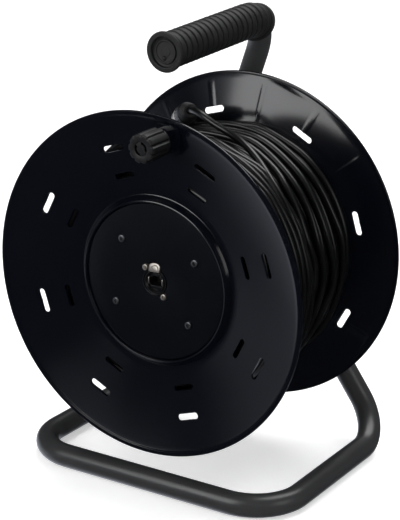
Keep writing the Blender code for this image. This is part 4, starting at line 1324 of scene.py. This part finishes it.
def floor():
    mesh = bpy.data.meshes.new("floor")
    rings = [(0.0, 0.0)]
    verts, faces = [(0.0, 0.0, -0.0005)], []
    sides = 64
    profile = [(1.0, 0.0), (2.6, 0.0), (3.4, 0.06), (4.0, 0.3), (4.4, 0.8), (4.55, 1.5), (4.6, 3.2)]
    for r, z in profile:
        for j in range(sides):
            a = 2 * math.pi * j / sides
            verts.append((r * math.cos(a), r * math.sin(a), z - 0.0005))
    for j in range(sides):
        faces.append((0, 1 + j, 1 + (j + 1) % sides))
    for i in range(len(profile) - 1):
        for j in range(sides):
            k = (j + 1) % sides
            a, b = 1 + i * sides, 1 + (i + 1) * sides
            faces.append((a + j, b + j, b + k, a + k))
    mesh.from_pydata(verts, [], faces)
    mesh.shade_smooth()
    obj = bpy.data.objects.new("floor", mesh)
    bpy.context.scene.collection.objects.link(obj)
    obj.data.materials.append(stage_material("floor_white", (0.86, 0.86, 0.86)))
    obj.visible_glossy = False
    return obj


floor()

# ---------------------------------------------------------------- light
world = bpy.data.worlds.new("studio")
bpy.context.scene.world = world
world.use_nodes = True


def studio_world(base, glows):
    """A dim room with broad soft glows, each (direction, inner and outer angle, strength)."""
    nodes, links = world.node_tree.nodes, world.node_tree.links
    where = nodes.new("ShaderNodeTexCoord")
    total = None
    for way, inner, outer, strength in glows:
        dot = nodes.new("ShaderNodeVectorMath")
        dot.operation = "DOT_PRODUCT"
        links.new(where.outputs["Generated"], dot.inputs[0])
        dot.inputs[1].default_value = Vector(way).normalized()
        fade = nodes.new("ShaderNodeMapRange")
        fade.interpolation_type = "SMOOTHSTEP"
        fade.inputs["From Min"].default_value = math.cos(math.radians(outer))
        fade.inputs["From Max"].default_value = math.cos(math.radians(inner))
        fade.inputs["To Min"].default_value = 0.0
        fade.inputs["To Max"].default_value = strength
        links.new(dot.outputs["Value"], fade.inputs["Value"])
        add = nodes.new("ShaderNodeMath")
        add.operation = "ADD"
        links.new(fade.outputs["Result"], add.inputs[0])
        if total is None:
            add.inputs[1].default_value = base
        else:
            links.new(total, add.inputs[1])
        total = add.outputs["Value"]
    background = nodes["Background"]
    background.inputs["Color"].default_value = (0.93, 0.98, 1.10, 1.0)
    links.new(total, background.inputs["Strength"])


studio_world(0.02, [
    ((-0.78, 0.15, -0.60), 27.0, 39.0, 0.80),
    ((-0.45, -0.80, 0.36), 5.0, 22.0, 0.45),
    ((-0.87, -0.47, -0.16), 4.0, 21.0, 0.31),
    ((-0.29, -0.955, 0.06), 1.0, 10.0, 0.22),
    ((-0.50, 0.62, -0.60), 16.0, 40.0, 0.52),
])


def panel_light(name, at, aim, size, size_y, power):
    """A soft panel at a place given in metres from the floor under the drum."""
    data = bpy.data.lights.new(name, "AREA")
    data.shape = "RECTANGLE"
    data.size, data.size_y = size, size_y
    data.energy = power
    obj = bpy.data.objects.new(name, data)
    bpy.context.scene.collection.objects.link(obj)
    spot, target = Vector(at), Vector(aim)
    obj.matrix_world = Matrix.Translation(spot) @ (target - spot).to_track_quat("-Z", "Y").to_matrix().to_4x4()
    return obj


panel_light("top_panel", (0.1, 0.75, 2.0), (0.0, 0.0, 0.2), 1.8, 1.6, 44.0)
panel_light("front_left_panel", (-0.36, -1.05, 0.80), (0.0, 0.0, 0.35), 0.80, 0.85, 9.0)
panel_light("right_panel", (2.2, -0.3, 1.0), (0.0, 0.0, 0.2), 1.2, 1.2, 7.0)

bpy.context.scene.view_settings.view_transform = "Standard"

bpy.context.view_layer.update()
